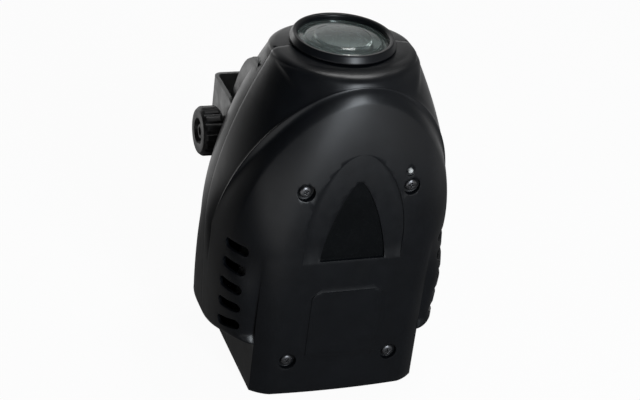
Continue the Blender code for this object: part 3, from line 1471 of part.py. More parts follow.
def power_inlet():
    """A three-pin mains inlet, its mouth facing down inside the base rim."""
    x, y = INLET
    half_x, half_y = INLET_SIZE[0] / 2, INLET_SIZE[1] / 2
    flange_top = PANEL_Z - GAP
    body_top = INLET_FLANGE_Z + INLET_DEPTH + 5 * MM
    low, high = (x - half_x, y - half_y, INLET_FLANGE_Z), (x + half_x, y + half_y, body_top)
    inlet = plate("power_inlet", low, high, dark_plastic())
    wide_x, wide_y = half_x + 3 * MM, half_y + 3 * MM
    bm = bmesh.new()
    add_box(bm, (x - wide_x, y - wide_y, INLET_FLANGE_Z), (x + wide_x, y + wide_y, flange_top))
    join(inlet, helper("inlet_flange", bm))
    mouth_x, mouth_y = INLET_MOUTH[0] / 2, INLET_MOUTH[1] / 2
    outline = [(-mouth_x, mouth_y), (-mouth_x, -mouth_y + 5 * MM), (-mouth_x + 5 * MM, -mouth_y)]
    outline += [(mouth_x - 5 * MM, -mouth_y), (mouth_x, -mouth_y + 5 * MM), (mouth_x, mouth_y)]
    top = INLET_FLANGE_Z + INLET_DEPTH
    cut(inlet, helper("inlet_mouth", prism(outline, -MM, INLET_DEPTH), at(x, y, INLET_FLANGE_Z)))
    pins = bmesh.new()
    tip = PANEL_Z + 2.2 * MM
    for px, py in ((x - 7 * MM, y + 2 * MM), (x, y - 2 * MM), (x + 7 * MM, y + 2 * MM)):
        add_box(pins, (px - MM, py - 2 * MM, tip), (px + MM, py + 2 * MM, top + MM))
    join(inlet, helper("inlet_pins", pins))
    return inlet


def fuse_holder():
    x, y = FUSE
    low, flange = PANEL_Z - 1.8 * MM, PANEL_Z - GAP
    top = POWER_BOARD_Z - 2.5 * MM
    bore = FUSE_RADIUS - 2 * MM
    wide = FUSE_RADIUS + 2 * MM
    profile = [(bore, low), (wide, low), (wide, flange), (FUSE_RADIUS, flange), (FUSE_RADIUS, top)]
    profile += [(0, top), (0, top - 2 * MM), (bore, top - 2 * MM)]
    return solid("fuse_holder", turned(profile, 20), dark_plastic(), at(x, y, 0))


def fuse_cap():
    """The bayonet cap, with a coin slot."""
    x, y = FUSE
    top = PANEL_Z - 1.8 * MM - GAP
    low = top - 3.2 * MM
    stem = FUSE_RADIUS - 2 * MM - GAP
    wide, height = FUSE_RADIUS + MM, top - low
    profile = [(0, 0), (wide, 0), (wide, height), (stem, height), (stem, 17 * MM), (0, 17 * MM)]
    cap = solid("fuse_cap", turned(profile, 20), dark_plastic(), at(x, y, low))
    slot = bmesh.new()
    half = FUSE_RADIUS - 1.5 * MM
    add_box(slot, (-half, -0.6 * MM, -MM), (half, 0.6 * MM, 1.2 * MM))
    cut(cap, helper("coin_slot", slot, at(x, y, low)))
    return cap


def sensitivity_pot():
    x, y = POT
    low = PANEL_Z + SHEET + GAP
    bush_low = PANEL_Z - 0.5 * MM
    bore = SHAFT_RADIUS + GAP
    wide, top, deep = 8 * MM, low + 10 * MM, low + 7.5 * MM
    profile = [(bore, bush_low), (POT_BUSH_RADIUS, bush_low), (POT_BUSH_RADIUS, low), (wide, low)]
    profile += [(wide, top), (0, top), (0, deep), (bore, deep)]
    return solid("sensitivity_pot", turned(profile, 18), steel(), at(x, y, 0))


def sensitivity_knob():
    """The turning knob with its shaft and a pointer groove."""
    x, y = POT
    top = PANEL_Z - 0.5 * MM - GAP
    low = 2.2 * MM
    shaft_top = PANEL_Z + SHEET + GAP + 6.5 * MM - low
    radius = 7 * MM
    height = top - low
    profile = [(0, 0), (radius - 0.8 * MM, 0), (radius, 0.8 * MM), (radius, height)]
    profile += [(SHAFT_RADIUS, height), (SHAFT_RADIUS, shaft_top), (0, shaft_top)]
    knob = solid("sensitivity_knob", turned(profile, 20), black_plastic(), at(x, y, low))
    groove = bmesh.new()
    add_box(groove, (-0.5 * MM, 1.5 * MM, -MM), (0.5 * MM, radius + MM, 0.8 * MM))
    cut(knob, helper("pointer_groove", groove, at(x, y, low)))
    return knob


def microphone():
    low = PANEL_Z + SHEET + GAP
    radius = MICROPHONE_RADIUS
    profile = [(0, low), (radius, low), (radius, low + 6 * MM), (0, low + 6 * MM)]
    return solid("microphone", turned(profile, 14), aluminium(), at(*MICROPHONE, 0))


# Yoke


def pivot_place(x=0.0, side=1):
    """A frame on the yoke's axis, whose own Z axis points outwards on the given side."""
    return at(side * x, PIVOT_Y, PIVOT_Z) @ Matrix.Rotation(side * math.pi / 2, 4, "Y")


def yoke_profile():
    """The bent strip seen along Z, from the left arm round the back to the right one."""
    outer, inner = ARM_X + YOKE_SHEET, ARM_X
    back, front = YOKE_REACH + YOKE_SHEET, YOKE_REACH
    start = -ARM_RADIUS - 2 * MM
    bend = YOKE_BEND
    outside = circle(bend + YOKE_SHEET, 4, (inner - bend, front - bend), 0, math.pi / 2)
    inside = circle(bend, 4, (inner - bend, front - bend), 0, math.pi / 2)
    half = [(outer, start)] + outside
    points = half + [(-x, y) for x, y in reversed(half)]
    points += [(-inner, start)] + [(-x, y) for x, y in inside] + list(reversed(inside)) + [(inner, start)]
    return points


def yoke():
    bent = prism(yoke_profile(), -ARM_RADIUS, ARM_RADIUS)
    strip = solid("yoke", bent, black_paint(), at(0, PIVOT_Y, PIVOT_Z))
    reach = ARM_X + YOKE_SHEET + 5 * MM
    far = YOKE_REACH + YOKE_SHEET + 5 * MM
    tall = ARM_RADIUS + MM
    bow = circle(ARM_RADIUS, 18, (0, 0), math.pi / 2, math.pi)
    outline = [(far, tall), (0, tall), (0, ARM_RADIUS)] + bow[1:-1]
    outline += [(0, -ARM_RADIUS), (0, -tall), (far, -tall)]
    stencil = prism([(z, y) for y, z in outline], -reach, reach)
    turn = Matrix(((0, 0, 1), (0, 1, 0), (-1, 0, 0))).to_4x4()
    boolean(strip, helper("yoke_stencil", stencil, at(0, PIVOT_Y, PIVOT_Z) @ turn), "INTERSECT")
    low, high = ARM_X - 2 * MM, ARM_X + YOKE_SHEET + 2 * MM
    cut(strip, pivot_rods("yoke_stud_holes", low, high, STUD_THREAD_RADIUS + GAP, 16))
    y, z = PIVOT_Y + YOKE_REACH, PIVOT_Z
    bolt = [((0, y - 2 * MM, z), (0, y + 5 * MM, z))]
    cut(strip, rods("yoke_bolt_hole", bolt, 5.5 * MM, 20))
    slots = bmesh.new()
    for s in (-1, 1):
        low, high = sorted((s * 16 * MM, s * 30 * MM))
        add_box(slots, (low, y - 2 * MM, z - 3.3 * MM), (high, y + 5 * MM, z + 3.3 * MM))
    cut(strip, helper("yoke_slots", slots))
    return strip


def yoke_knob(side, name):
    """A clamp knob: a tapered hub, then a fluted disc with a rim round a sunk middle."""
    length, disc, wide = KNOB_LENGTH, KNOB_DISC, KNOB_RADIUS
    rim, sunk = wide - 4.8 * MM, length - 1.8 * MM
    profile = [(0, 0), (KNOB_HUB_RADIUS, 0), (KNOB_HUB_RADIUS - 1.5 * MM, length - disc - 1.5 * MM)]
    profile += [(wide - MM, length - disc), (wide, length - disc + MM), (wide, length - 1.6 * MM)]
    profile += [(wide - 1.6 * MM, length), (rim, length), (rim - 0.8 * MM, sunk), (0, sunk)]
    knob = solid(name, turned(profile, 32), black_plastic(), pivot_place(KNOB_X, side))
    reach = KNOB_RADIUS + 0.9 * MM
    flutes = bmesh.new()
    for x, y in circle(reach, KNOB_FLUTES):
        add_rod(flutes, (x, y, length - disc - 3 * MM), (x, y, length + MM), 1.9 * MM, 6)
    cut(knob, helper(f"{name}_flutes", flutes, pivot_place(KNOB_X, side)))
    bore = bmesh.new()
    add_rod(bore, (0, 0, -MM), (0, 0, STUD_OUTER_X + GAP - KNOB_X), STUD_THREAD_RADIUS + GAP, 16)
    cut(knob, helper(f"{name}_bore", bore, pivot_place(KNOB_X, side)))
    return knob


def yoke_joint(side, name):
    """The knob, stud, washer and threaded insert of one side."""
    knob = yoke_knob(side, f"yoke_knob_{name}")
    stud = bmesh.new()
    add_rod(stud, (0, 0, STUD_INNER_X - KNOB_X), (0, 0, STUD_OUTER_X - KNOB_X), STUD_THREAD_RADIUS, 14)
    adopt(solid(f"knob_stud_{name}", stud, steel(), pivot_place(KNOB_X, side)), knob)
    bore = STUD_THREAD_RADIUS + GAP
    ring = turned([(bore, 0), (WASHER_RADIUS, 0), (WASHER_RADIUS, WASHER), (bore, WASHER)], 24)
    solid(f"friction_washer_{name}", ring, rubber(), pivot_place(CHEEK_X + GAP, side))
    length = CHEEK_X - GAP - INSERT_INNER_X
    insert = turned([(bore, 0), (INSERT_RADIUS, 0), (INSERT_RADIUS, length), (bore, length)], 16)
    solid(f"pivot_insert_{name}", insert, brass(), pivot_place(INSERT_INNER_X, side))


def centre_under_origin():
    """Hangs everything on one empty, so that the origin lies under the middle of the light's box."""
    frame = bpy.data.objects.new("light_frame", None)
    bpy.context.scene.collection.objects.link(frame)
    frame.location.y = -MIDDLE_Y
    for obj in list(bpy.context.scene.objects):
        if obj.parent is None and obj is not frame:
            obj.parent = frame


def main():
    front_cover()
    rear_cover()
    base_panel()
    case_screws()
    panel_screws()
    status_lamp()
    lens_bezel()
    objective_lens()
    lens_seal()
    lens_barrel()
    ring = gear_ring()
    disc = flower_disc()
    clip = wheel_rings()
    adopt(disc, ring)
    adopt(clip, ring)
    wheel_bushing()
    wheel_motor()
    motor_pinion()
    barrel_posts()
    led_board()
    led_emitter()
    condenser()
    heatsink()
    fan_frame()
    fan_rotor()
    chassis_front()
    chassis_rear()
    led_shelf()
    wheel_shelf()
    power_board()
    transformer()
    bulk_capacitor()
    control_board()
    power_inlet()
    fuse_holder()
    fuse_cap()
    sensitivity_pot()
    sensitivity_knob()
    microphone()
    yoke()
    yoke_joint(-1, "left")
    yoke_joint(1, "right")
    centre_under_origin()


main()
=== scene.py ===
"""The LED flower effect light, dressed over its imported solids.

Metres. The shells and the yoke are drawn about the lens axis, which stands MIDDLE_Y in front of
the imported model's origin, and every finished piece is moved back by that much.
"""

from math import copysign, cos, pi, radians, sin, sqrt, tau

import bmesh
import bpy
from mathutils import Matrix, Vector


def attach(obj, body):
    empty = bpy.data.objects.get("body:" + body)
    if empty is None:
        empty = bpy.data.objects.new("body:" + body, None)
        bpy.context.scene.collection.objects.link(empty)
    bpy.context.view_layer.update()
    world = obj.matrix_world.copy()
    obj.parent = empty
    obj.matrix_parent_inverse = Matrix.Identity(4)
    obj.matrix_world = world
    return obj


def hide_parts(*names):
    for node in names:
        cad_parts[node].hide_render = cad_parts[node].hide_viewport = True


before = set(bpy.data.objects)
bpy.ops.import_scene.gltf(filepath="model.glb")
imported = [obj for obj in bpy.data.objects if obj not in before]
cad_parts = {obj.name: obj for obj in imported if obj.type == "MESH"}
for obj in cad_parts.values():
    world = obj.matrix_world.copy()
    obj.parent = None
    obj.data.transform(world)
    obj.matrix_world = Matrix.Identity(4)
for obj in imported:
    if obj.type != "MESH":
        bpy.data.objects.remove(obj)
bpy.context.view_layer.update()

MM = 0.001
MIDDLE_Y = 7.45 * MM

# How finely the shells are drawn
PANEL_COLUMNS = 8
EDGE_COLUMNS = 5
POD_COLUMNS = 8
SHOULDER_COLUMNS = 10
SLAB_COLUMNS = 14
ROLLS = [radians(degrees) for degrees in range(10, 91, 10)]

# Fits
GAP = 0.3 * MM
WALL = 2.5 * MM
FRONT_WALL = WALL - 0.4 * MM
SHELL_EDGE = 0.3 * MM
SEAM_HALF = 0.15 * MM
SEAM_STRIP = 2.5 * MM
SEAM_LIP = 1.5 * MM
SEAM_LIP_TOP = 9.5 * MM
CUT_REACH = 12 * MM
CHASSIS_FRONT_Y = -48 * MM
CHASSIS_REAR_Y = 35.5 * MM

# Housing outline, at the seam between the shells
TOP_Z = 210 * MM
TOP_CROWN = 1.4 * MM
TOP_ROUND = 5.5 * MM
TOP_HALF_WIDTH = 44.5 * MM
TOP_POWER = 0.92
TOP_FRONT_REACH = 42 * MM
TOP_FRONT_LIFT = 2 * MM
EGG_Z = 97 * MM
EGG_HALF_WIDTH = 75 * MM
EGG_TOP_POWER = 1.8
EGG_FOOT_POWER = 1.3
POD_LOW_Z = 34 * MM
POD_HIGH_Z = 40.5 * MM
POD_HALF_WIDTH = 71.8 * MM
POD_POWER = 2.6
POD_FULL_SHARE = 0.4
POD_FOOT_POWER = 3.0
POD_FOOT_DROP = 11.5 * MM
POD_FOOT_FADE_Z = 72 * MM
BASE_HALF_WIDTH = 53.4 * MM
LENS_HOLE_RADIUS = 30 * MM
CROWN_INNER = LENS_HOLE_RADIUS - 0.8 * MM

# Front face
FACE_Y = -60 * MM
FACE_FALL = 9 * MM
FACE_FALL_POWER = 4
PANEL_HALF = 42.3 * MM
PANEL_CROWN = 1.6 * MM
BASE_CORNER_Y = -51.8 * MM
EDGE_BULGE = 0.9 * MM
CREASE_DEPTH = 2.4 * MM
CROWN_POWER = 5.2
INNER_ARCH_HALF = 69 * MM
INNER_ARCH_TOP_Z = 196 * MM
INNER_ARCH_SIDE_Y = -33.2 * MM
INNER_ARCH_TOP_Y = -51 * MM
INNER_ARCH_POWER = 1.85
ARCH_WALL_SHARE = 0.6
ARCH_WALL_BULGE = 0.12
RIDGE_HALF = 73.5 * MM
RIDGE_TOP_Z = 203 * MM
RIDGE_SIDE_Y = -9.9 * MM
RIDGE_TOP_Y = -46 * MM
RIDGE_POWER = 2.0
RIDGE_LEAN = 0.95
RIDGE_STEP = 0.9 * MM
LEDGE_RISE = 1.2 * MM
LEDGE_SHARE = 0.45
TOP_FADE = 0.8
SHOULDER_PULL = 0.55
OVER_TOP = 2.2 * MM
DECK_INSET = 0.09
DECK_TURN = 0.8
TIGHT_TURNS = (0.3, 1.2)
TIGHTNESS = 3
CORNER_ANGLE = radians(62)

# Back of the housing: how deep it is at each height
REAR_DEPTH = [(0, 46), (34, 46), (40.5, 52), (95, 56), (130, 55), (163, 50), (190, 42), (210, 34.5)]
REAR_POWER = [(0, 4.0), (34, 4.0), (40.5, 3.2), (100, 2.0), (180, 2.0), (210, 2.0)]

# Front recesses, label field and vents
ARCH_RECESS_DEPTH = 0.9 * MM
ARCH_RECESS_LOW_Z = 92 * MM
ARCH_RECESS_TOP_Z = 164 * MM
ARCH_RECESS_HALF = 31 * MM
ARCH_RECESS_FADE = 6 * MM
ARCH_RECESS_LIFT = 1.4 * MM
ARCH_POWER = 1.8
ARCH_STRAIGHT = 0.25
ARCH_TIP = 0.4 * MM
WINDOW_DEPTH = 2.4 * MM
WINDOW_LOW_Z = 94.5 * MM
WINDOW_TOP_Z = 146.5 * MM
WINDOW_HALF = 20.5 * MM
WINDOW_POWER = 1.42
WINDOW_BACKING = 2.4 * MM
WINDOW_BORDER = 3 * MM
PANE_INSET = 0.25 * MM
PANE_THICKNESS = 0.9 * MM
PANE_SEAT = 0.05 * MM
LABEL_RISE = 0.6 * MM
LABEL_HALF = 22.5 * MM
LABEL_LOW_Z = 27 * MM
LABEL_TOP_Z = 73 * MM
LABEL_ROUND = 5 * MM
VENT_FRONT = (60.6 * MM, -46 * MM)
VENT_REAR = (70 * MM, -29 * MM)
VENT_FRONT_Z = [96 * MM, 83 * MM, 70 * MM, 57.6 * MM, 45.7 * MM]
VENT_REAR_DROP = [0 * MM, 0 * MM, 0.5 * MM, 2.6 * MM, 5.2 * MM]
VENT_HEIGHT = 6.7 * MM
VENT_REACH = 8 * MM

# Screws through the shells, and their posts
SCREW_X = 33 * MM
SCREW_LOW_Z = 24 * MM
FRONT_SCREW_HIGH_Z = 141 * MM
REAR_SCREW_HIGH_Z = 103 * MM
SCREW_HEAD_RADIUS = 3.75 * MM
SCREW_HEAD_HEIGHT = 2.4 * MM
SCREW_RADIUS = 2 * MM
SCREW_LENGTH = 15 * MM
HEAD_FLANK = 0.45
HEAD_FLAT = 0.42
CROSS_ARM = 0.6
CROSS_WEB = 0.14
CROSS_DEPTH = 0.62
CROSS_TAPER = 0.5
COUNTERBORE_RADIUS = 5.5 * MM
COUNTERBORE_DEPTH = 3.2 * MM
FRONT_POST_RADIUS = 7.2 * MM
REAR_POST_RADIUS = 8.5 * MM
LAMP_X = 31 * MM
LAMP_Z = 151 * MM
LAMP_RADIUS = 1.6 * MM
LAMP_LENGTH = 6 * MM
LAMP_SINK = 0.8 * MM
LAMP_SEAT = 0.6 * MM

# Lens on top
LENS_RADIUS = 28.3 * MM
LENS_TOP_Z = TOP_Z + GAP + 0.7 * MM
LENS_EDGE = 3 * MM
LENS_DOME = 3.2 * MM
LENS_STEPS = [(0.6, 0.65, 0.55 * MM), (0.82, 0.88, 0.5 * MM)]
LENS_RIM = 0.04 * LENS_DOME
COLLAR_RADIUS = 32 * MM
COLLAR_TOP_RADIUS = 30.6 * MM
COLLAR_HEIGHT = 4.7 * MM
COLLAR_BORE = 27.4 * MM
SKIRT_DEPTH = 8 * MM

# Yoke and its joints
PIVOT_Y = 42 * MM
PIVOT_Z = 131.5 * MM
CHEEK_X = 49.7 * MM
CHEEK_FOOT_X = 24 * MM
CHEEK_FOOT_SHARE = 0.7
CHEEK_POWER = 1.6
CHEEK_REACH = [(100, 34), (106, 42), (112, 48), (122, 55), (131, 57.5), (140, 55.5), (150, 49)]
CHEEK_REACH += [(162, 42.5), (176, 35), (188, 25), (196, 13)]
POCKET_RADIUS = 26.5 * MM
ARM_RADIUS = 23 * MM
YOKE_SHEET = 2.5 * MM
YOKE_REACH = 31 * MM
YOKE_BEND = 2.5 * MM
YOKE_SLOT_X = (16 * MM, 30 * MM)
YOKE_SLOT_HALF = 3.3 * MM
BOLT_HOLE_RADIUS = 5.5 * MM
WASHER = 1 * MM
ARM_X = CHEEK_X + GAP + WASHER + GAP
KNOB_X = ARM_X + YOKE_SHEET + GAP
KNOB_RADIUS = 15.5 * MM
KNOB_LENGTH = 16.9 * MM
KNOB_HUB_RADIUS = 9 * MM
KNOB_NECK = 3.6 * MM
KNOB_RIM_RADIUS = 8.2 * MM
KNOB_SINK = 2.6 * MM
KNOB_FLUTES = 16
KNOB_FLUTE_CENTRE = KNOB_RADIUS + 1.2 * MM
KNOB_FLUTE_RADIUS = 1.9 * MM
KNOB_RING_RADII = (2.6 * MM, 4.6 * MM)
KNOB_RING_RISE = 1.3 * MM
STUD_THREAD_RADIUS = 3 * MM
STUD_OUTER_X = 66 * MM
INSERT_RADIUS = 5 * MM
INSERT_INNER_X = 40.6 * MM
PIVOT_BOSS_RADIUS = 8 * MM
PIVOT_BOSS_X = 38.6 * MM


def clamp(value):
    return min(max(value, 0.0), 1.0)


def shares(steps):
    return [i / steps for i in range(steps + 1)]


def spread(low, high, steps):
    return [low + (high - low) * i / steps for i in range(steps + 1)]


def between(low, high, share):
    return low + (high - low) * share


def smooth(low, high, value):
    t = clamp((value - low) / (high - low))
    return t * t * (3 - 2 * t)


def along(points, z):
    """A value read off a smooth line through (height, value) points given in millimetres."""
    z = z / MM
    if z <= points[0][0]:
        return points[0][1]
    for (z0, v0), (z1, v1) in zip(points, points[1:]):
        if z <= z1:
            t = (z - z0) / (z1 - z0)
            return v0 + (v1 - v0) * t * t * (3 - 2 * t) if v0 != v1 else v0
    return points[-1][1]


def seam_half_width(z):
    """The housing's half width at the seam between the shells, by the height."""
    if z >= EGG_Z:
        t = clamp((z - EGG_Z) / (TOP_Z - TOP_ROUND - EGG_Z))
        return between(EGG_HALF_WIDTH, TOP_HALF_WIDTH, t**EGG_TOP_POWER)
    if z >= POD_HIGH_Z:
        t = (EGG_Z - z) / (EGG_Z - POD_HIGH_Z)
        return between(EGG_HALF_WIDTH, POD_HALF_WIDTH, t**EGG_FOOT_POWER)
    if z <= POD_LOW_Z:
        return BASE_HALF_WIDTH
    t = (POD_HIGH_Z - z) / (POD_HIGH_Z - POD_LOW_Z)
    return between(BASE_HALF_WIDTH, POD_HALF_WIDTH, (1 - t**POD_FOOT_POWER) ** (1 / POD_FOOT_POWER))


def face_centre_y(z):
    return FACE_Y + FACE_FALL * (max(z, 0) / INNER_ARCH_TOP_Z) ** FACE_FALL_POWER


def inner_arch_y(z):
    return between(INNER_ARCH_SIDE_Y, INNER_ARCH_TOP_Y, (z - EGG_Z) / (INNER_ARCH_TOP_Z - EGG_Z))


def crowned_y(x, z):
    """The face inside the inner arch: flat in the middle, falling back towards the arch's edge."""
    rise = max(z - EGG_Z, 0) / (INNER_ARCH_TOP_Z - EGG_Z)
    reach = (abs(x) / INNER_ARCH_HALF) ** INNER_ARCH_POWER + rise**INNER_ARCH_POWER
    reach = max(reach, 1e-9) ** (1 / INNER_ARCH_POWER)
    edge_z = between(EGG_Z, INNER_ARCH_TOP_Z, min(rise / reach, 1))
    return face_centre_y(z) + (inner_arch_y(edge_z) - face_centre_y(edge_z)) * reach**CROWN_POWER


def face_y(x, z):
    """The whole face: the flat base panel passes into the crowned face."""
    panel = FACE_Y + PANEL_CROWN * (x / PANEL_HALF) ** 2
    return between(panel, crowned_y(x, z), smooth(POD_HIGH_Z, EGG_Z, z))


def crease_y(z):
    """The edge between the front panel and the rounded pods beside it."""
    return between(BASE_CORNER_Y, crowned_y(BASE_HALF_WIDTH, EGG_Z), smooth(POD_HIGH_Z, EGG_Z, z))


def crease_depth(z):
    """How far the pod lies behind the panel at the crease, fading out under the widest level."""
    return CREASE_DEPTH * smooth(POD_LOW_Z, POD_HIGH_Z, z) * (1 - smooth(POD_HIGH_Z, EGG_Z, z))


def arch_point(half, top_z, power, angle):
    """A point of an arch over the widest level: half width and height at an angle from the side."""
    x = half * max(cos(angle), 0) ** (2 / power)
    return x, between(EGG_Z, top_z, max(sin(angle), 0) ** (2 / power))


def top_edge(turn, roll):
    """A point of the rounded edge round the top: turn runs from the side to the front."""
    inset = TOP_ROUND * (1 - cos(roll))
    start_z = TOP_Z - TOP_ROUND + TOP_FRONT_LIFT * sin(turn)
    z = between(start_z, TOP_Z - TOP_CROWN, sin(roll))
    x = (TOP_HALF_WIDTH - inset) * max(cos(turn), 0) ** TOP_POWER
    y = between(SEAM_STRIP, TOP_FRONT_REACH - inset, sin(turn) ** TOP_POWER)
    return Vector((x, -y, z))


def curve(start, pull, end, t, weight=1.0):
    """A bow from start to end, drawn the closer to the pull point the more that weighs."""
    weights = ((1 - t) ** 2, 2 * weight * t * (1 - t), t * t)
    return (start * weights[0] + pull * weights[1] + end * weights[2]) / sum(weights)


def eased(points):
    """The line with each of its corners cut once, and its ends kept."""
    cut_line = [points[0]]
    for a, b in zip(points, points[1:]):
        cut_line += [a.lerp(b, 0.25), a.lerp(b, 0.75)]
    return cut_line + [points[-1]]


def fan_row(angle):
    """One row of the front, from the middle of the face over both arches to the shoulder, and its way
    on over the top edge to the deck round the lens."""
    inner_x, inner_z = arch_point(INNER_ARCH_HALF, INNER_ARCH_TOP_Z, INNER_ARCH_POWER, angle)
    panel_reach = PANEL_HALF / INNER_ARCH_HALF
    base_reach = BASE_HALF_WIDTH / INNER_ARCH_HALF
    middle = [panel_reach * share for share in shares(PANEL_COLUMNS)]
    edge = [between(panel_reach, base_reach, share) for share in shares(EDGE_COLUMNS)[1:]]
    outside = [between(base_reach, 1, share) for share in shares(POD_COLUMNS)]
    row = []
    for reach in middle + edge + outside:
        x, z = inner_x * reach, between(EGG_Z, inner_z, reach)
        row.append(Vector((x, crowned_y(x, z), z)))
    ridge_x, ridge_z = arch_point(RIDGE_HALF, RIDGE_TOP_Z, RIDGE_POWER, angle)
    t = clamp((ridge_z - EGG_Z) / (RIDGE_TOP_Z - EGG_Z))
    ridge = Vector((ridge_x, between(RIDGE_SIDE_Y, RIDGE_TOP_Y, t**RIDGE_LEAN), ridge_z))
    fade = 1 - TOP_FADE * smooth(pi / 4, pi / 2, angle)
    grown = smooth(0, pi / 4, angle) * fade
    ledge = ridge + (row[-1] - ridge) * LEDGE_SHARE * grown
    ledge.y = ridge.y - LEDGE_RISE * grown
    wall = row[-1] * (1 - ARCH_WALL_SHARE) + ledge * ARCH_WALL_SHARE
    wall.y += ARCH_WALL_BULGE * (row[-1].y - ledge.y)
    turn = max(angle - CORNER_ANGLE, 0) / (pi / 2 - CORNER_ANGLE) * pi / 2
    if turn > 0:
        side = top_edge(turn, 0)
    else:
        seam_z = EGG_Z + (TOP_Z - TOP_ROUND - EGG_Z) * sin(angle) / sin(CORNER_ANGLE)
        side = Vector((seam_half_width(seam_z), -SEAM_STRIP, seam_z))
    pull = Vector((side.x, side.y + SHOULDER_PULL * (ridge.y - side.y), side.z))
    inward = Vector((-ridge.x, -ridge.y / 2, EGG_Z / 2 - ridge.z / 2)).normalized()
    step = ridge + ((pull - ridge).normalized() + inward) * RIDGE_STEP * fade
    over = [curve(step, pull, side, t) for t in shares(SHOULDER_COLUMNS)[1:]]
    over += [top_edge(turn, roll) for roll in ROLLS]
    rounding = smooth(0, DECK_TURN, turn)
    inset = 1 - DECK_INSET * rounding
    deck = Vector((over[-1].x * inset, over[-1].y * inset, over[-1].z))
    corner = Vector((side.x, side.y - OVER_TOP * sin(turn), deck.z))
    tightness = 1 + TIGHTNESS * (1 - smooth(*TIGHT_TURNS, turn))
    for i, t in enumerate(shares(len(over))[1:]):
        over[i] = over[i].lerp(curve(step, corner, deck, t, tightness), rounding)
    edge = eased(eased([row[-2], row[-1], wall, ledge, ridge, step, over[0]]))
    return row[:-2] + edge + over[1:SHOULDER_COLUMNS], over[SHOULDER_COLUMNS:]


def panel_row(z, egg_row):
    """One level row of the front below the widest level, from the middle of the panel to the seam."""
    crown_share = smooth(POD_HIGH_Z, EGG_Z, z)
    row = [Vector((point.x, face_y(point.x, z), z)) for point in egg_row[: PANEL_COLUMNS + 1]]
    for point in egg_row[PANEL_COLUMNS + 1 : PANEL_COLUMNS + EDGE_COLUMNS]:
        t = (point.x - PANEL_HALF) / (BASE_HALF_WIDTH - PANEL_HALF)
        chamfer = FACE_Y + PANEL_CROWN + (BASE_CORNER_Y - FACE_Y - PANEL_CROWN) * t
        chamfer -= 4 * EDGE_BULGE * t * (1 - t)
        row.append(Vector((point.x, between(chamfer, crowned_y(point.x, z), crown_share), z)))
    row.append(Vector((BASE_HALF_WIDTH, crease_y(z), z)))
    edge_y = crease_y(z) + crease_depth(z)
    egg_edge = egg_row[PANEL_COLUMNS + EDGE_COLUMNS]
    fullness = 1 - smooth(between(POD_HIGH_Z, EGG_Z, POD_FULL_SHARE), EGG_Z, z)
    for point in egg_row[PANEL_COLUMNS + EDGE_COLUMNS + 1 :]:
        share_x = clamp((point.x - egg_edge.x) / (EGG_HALF_WIDTH - egg_edge.x))
        share_y = clamp((point.y + SEAM_STRIP) / (egg_edge.y + SEAM_STRIP))
        full_reach = (share_x**POD_POWER + share_y**POD_POWER) ** (-1 / POD_POWER)
        grow = between(1, full_reach, fullness)
        x = BASE_HALF_WIDTH + (seam_half_width(z) - BASE_HALF_WIDTH) * share_x * grow
        row.append(Vector((x, -SEAM_STRIP + (edge_y + SEAM_STRIP) * share_y * grow, z)))
    return row


def settle(bm):
    """Lowers the pods' feet towards the back, as their undersides slope."""
    for vert in bm.verts:
        back = smooth(BASE_CORNER_Y, 0, vert.co.y)
        low = clamp(vert.co.z / POD_LOW_Z)
        high = 1 - smooth(POD_HIGH_Z, POD_FOOT_FADE_Z, vert.co.z)
        vert.co.z -= POD_FOOT_DROP * back * min(low, high)
    return bm


def band(bm, low, high):
    """Four-sided faces between two rows of as many vertices."""
    for corners in zip(low, low[1:], high[1:], high):
        bm.faces.new(corners)


def skin(bm, rows):
    grid = [[bm.verts.new(point) for point in row] for row in rows]
    for low, high in zip(grid, grid[1:]):
        band(bm, low, high)
    return grid


def closed(bm):
    """The same body, with its faces turned outwards."""
    bmesh.ops.recalc_face_normals(bm, faces=bm.faces)
    return bm


def pod_levels():
    """Heights of the level rows: close together where the pods swell out of the base."""
    swell = [between(POD_LOW_Z, POD_HIGH_Z, share**2.5) for share in shares(10)]
    walls = [between(POD_HIGH_Z, EGG_Z, share) for share in shares(14)[1:-1]]
    return [POD_LOW_Z * share for share in shares(6)[:-1]] + swell + walls


def front_skin():
    """The open outer surface of the front shell."""
    steps_side, steps_top = 36, 18
    egg_row = fan_row(0)[0]
    side_rows = [panel_row(z, egg_row) for z in pod_levels()]
    side_rows += [fan_row(angle)[0] for angle in spread(0, CORNER_ANGLE, steps_side)]
    top_rows, strips = zip(*[fan_row(angle) for angle in spread(CORNER_ANGLE, pi / 2, steps_top)])

    def at_seam(point):
        return Vector((point.x, -SEAM_HALF, point.z))

    def crown_edge(y):
        return Vector((sqrt(max(CROWN_INNER**2 - y * y, 0)), -y, TOP_Z))

    seam = [[row[-1], at_seam(row[-1])] for row in side_rows]
    crown = []
    for i, (row, over) in enumerate(zip(top_rows, strips)):
        y = between(SEAM_STRIP, CROWN_INNER, sin(pi / 2 * i / steps_top))
        crown.append([row[-1]] + over + [crown_edge(y)])
    joint = [at_seam(point) for point in crown[0][:-1]] + [crown_edge(SEAM_HALF)]
    bm = bmesh.new()
    for rows in (side_rows, top_rows, seam, crown, [joint, crown[0]]):
        skin(bm, rows)
        skin(bm, [[Vector((-p.x, p.y, p.z)) for p in row] for row in rows])
    bmesh.ops.remove_doubles(bm, verts=bm.verts, dist=0.01 * MM)
    closed(settle(bm))
    front = min(bm.faces, key=lambda face: face.calc_center_median().y)
    if front.normal.y > 0:
        bmesh.ops.reverse_faces(bm, faces=bm.faces)
    return bm


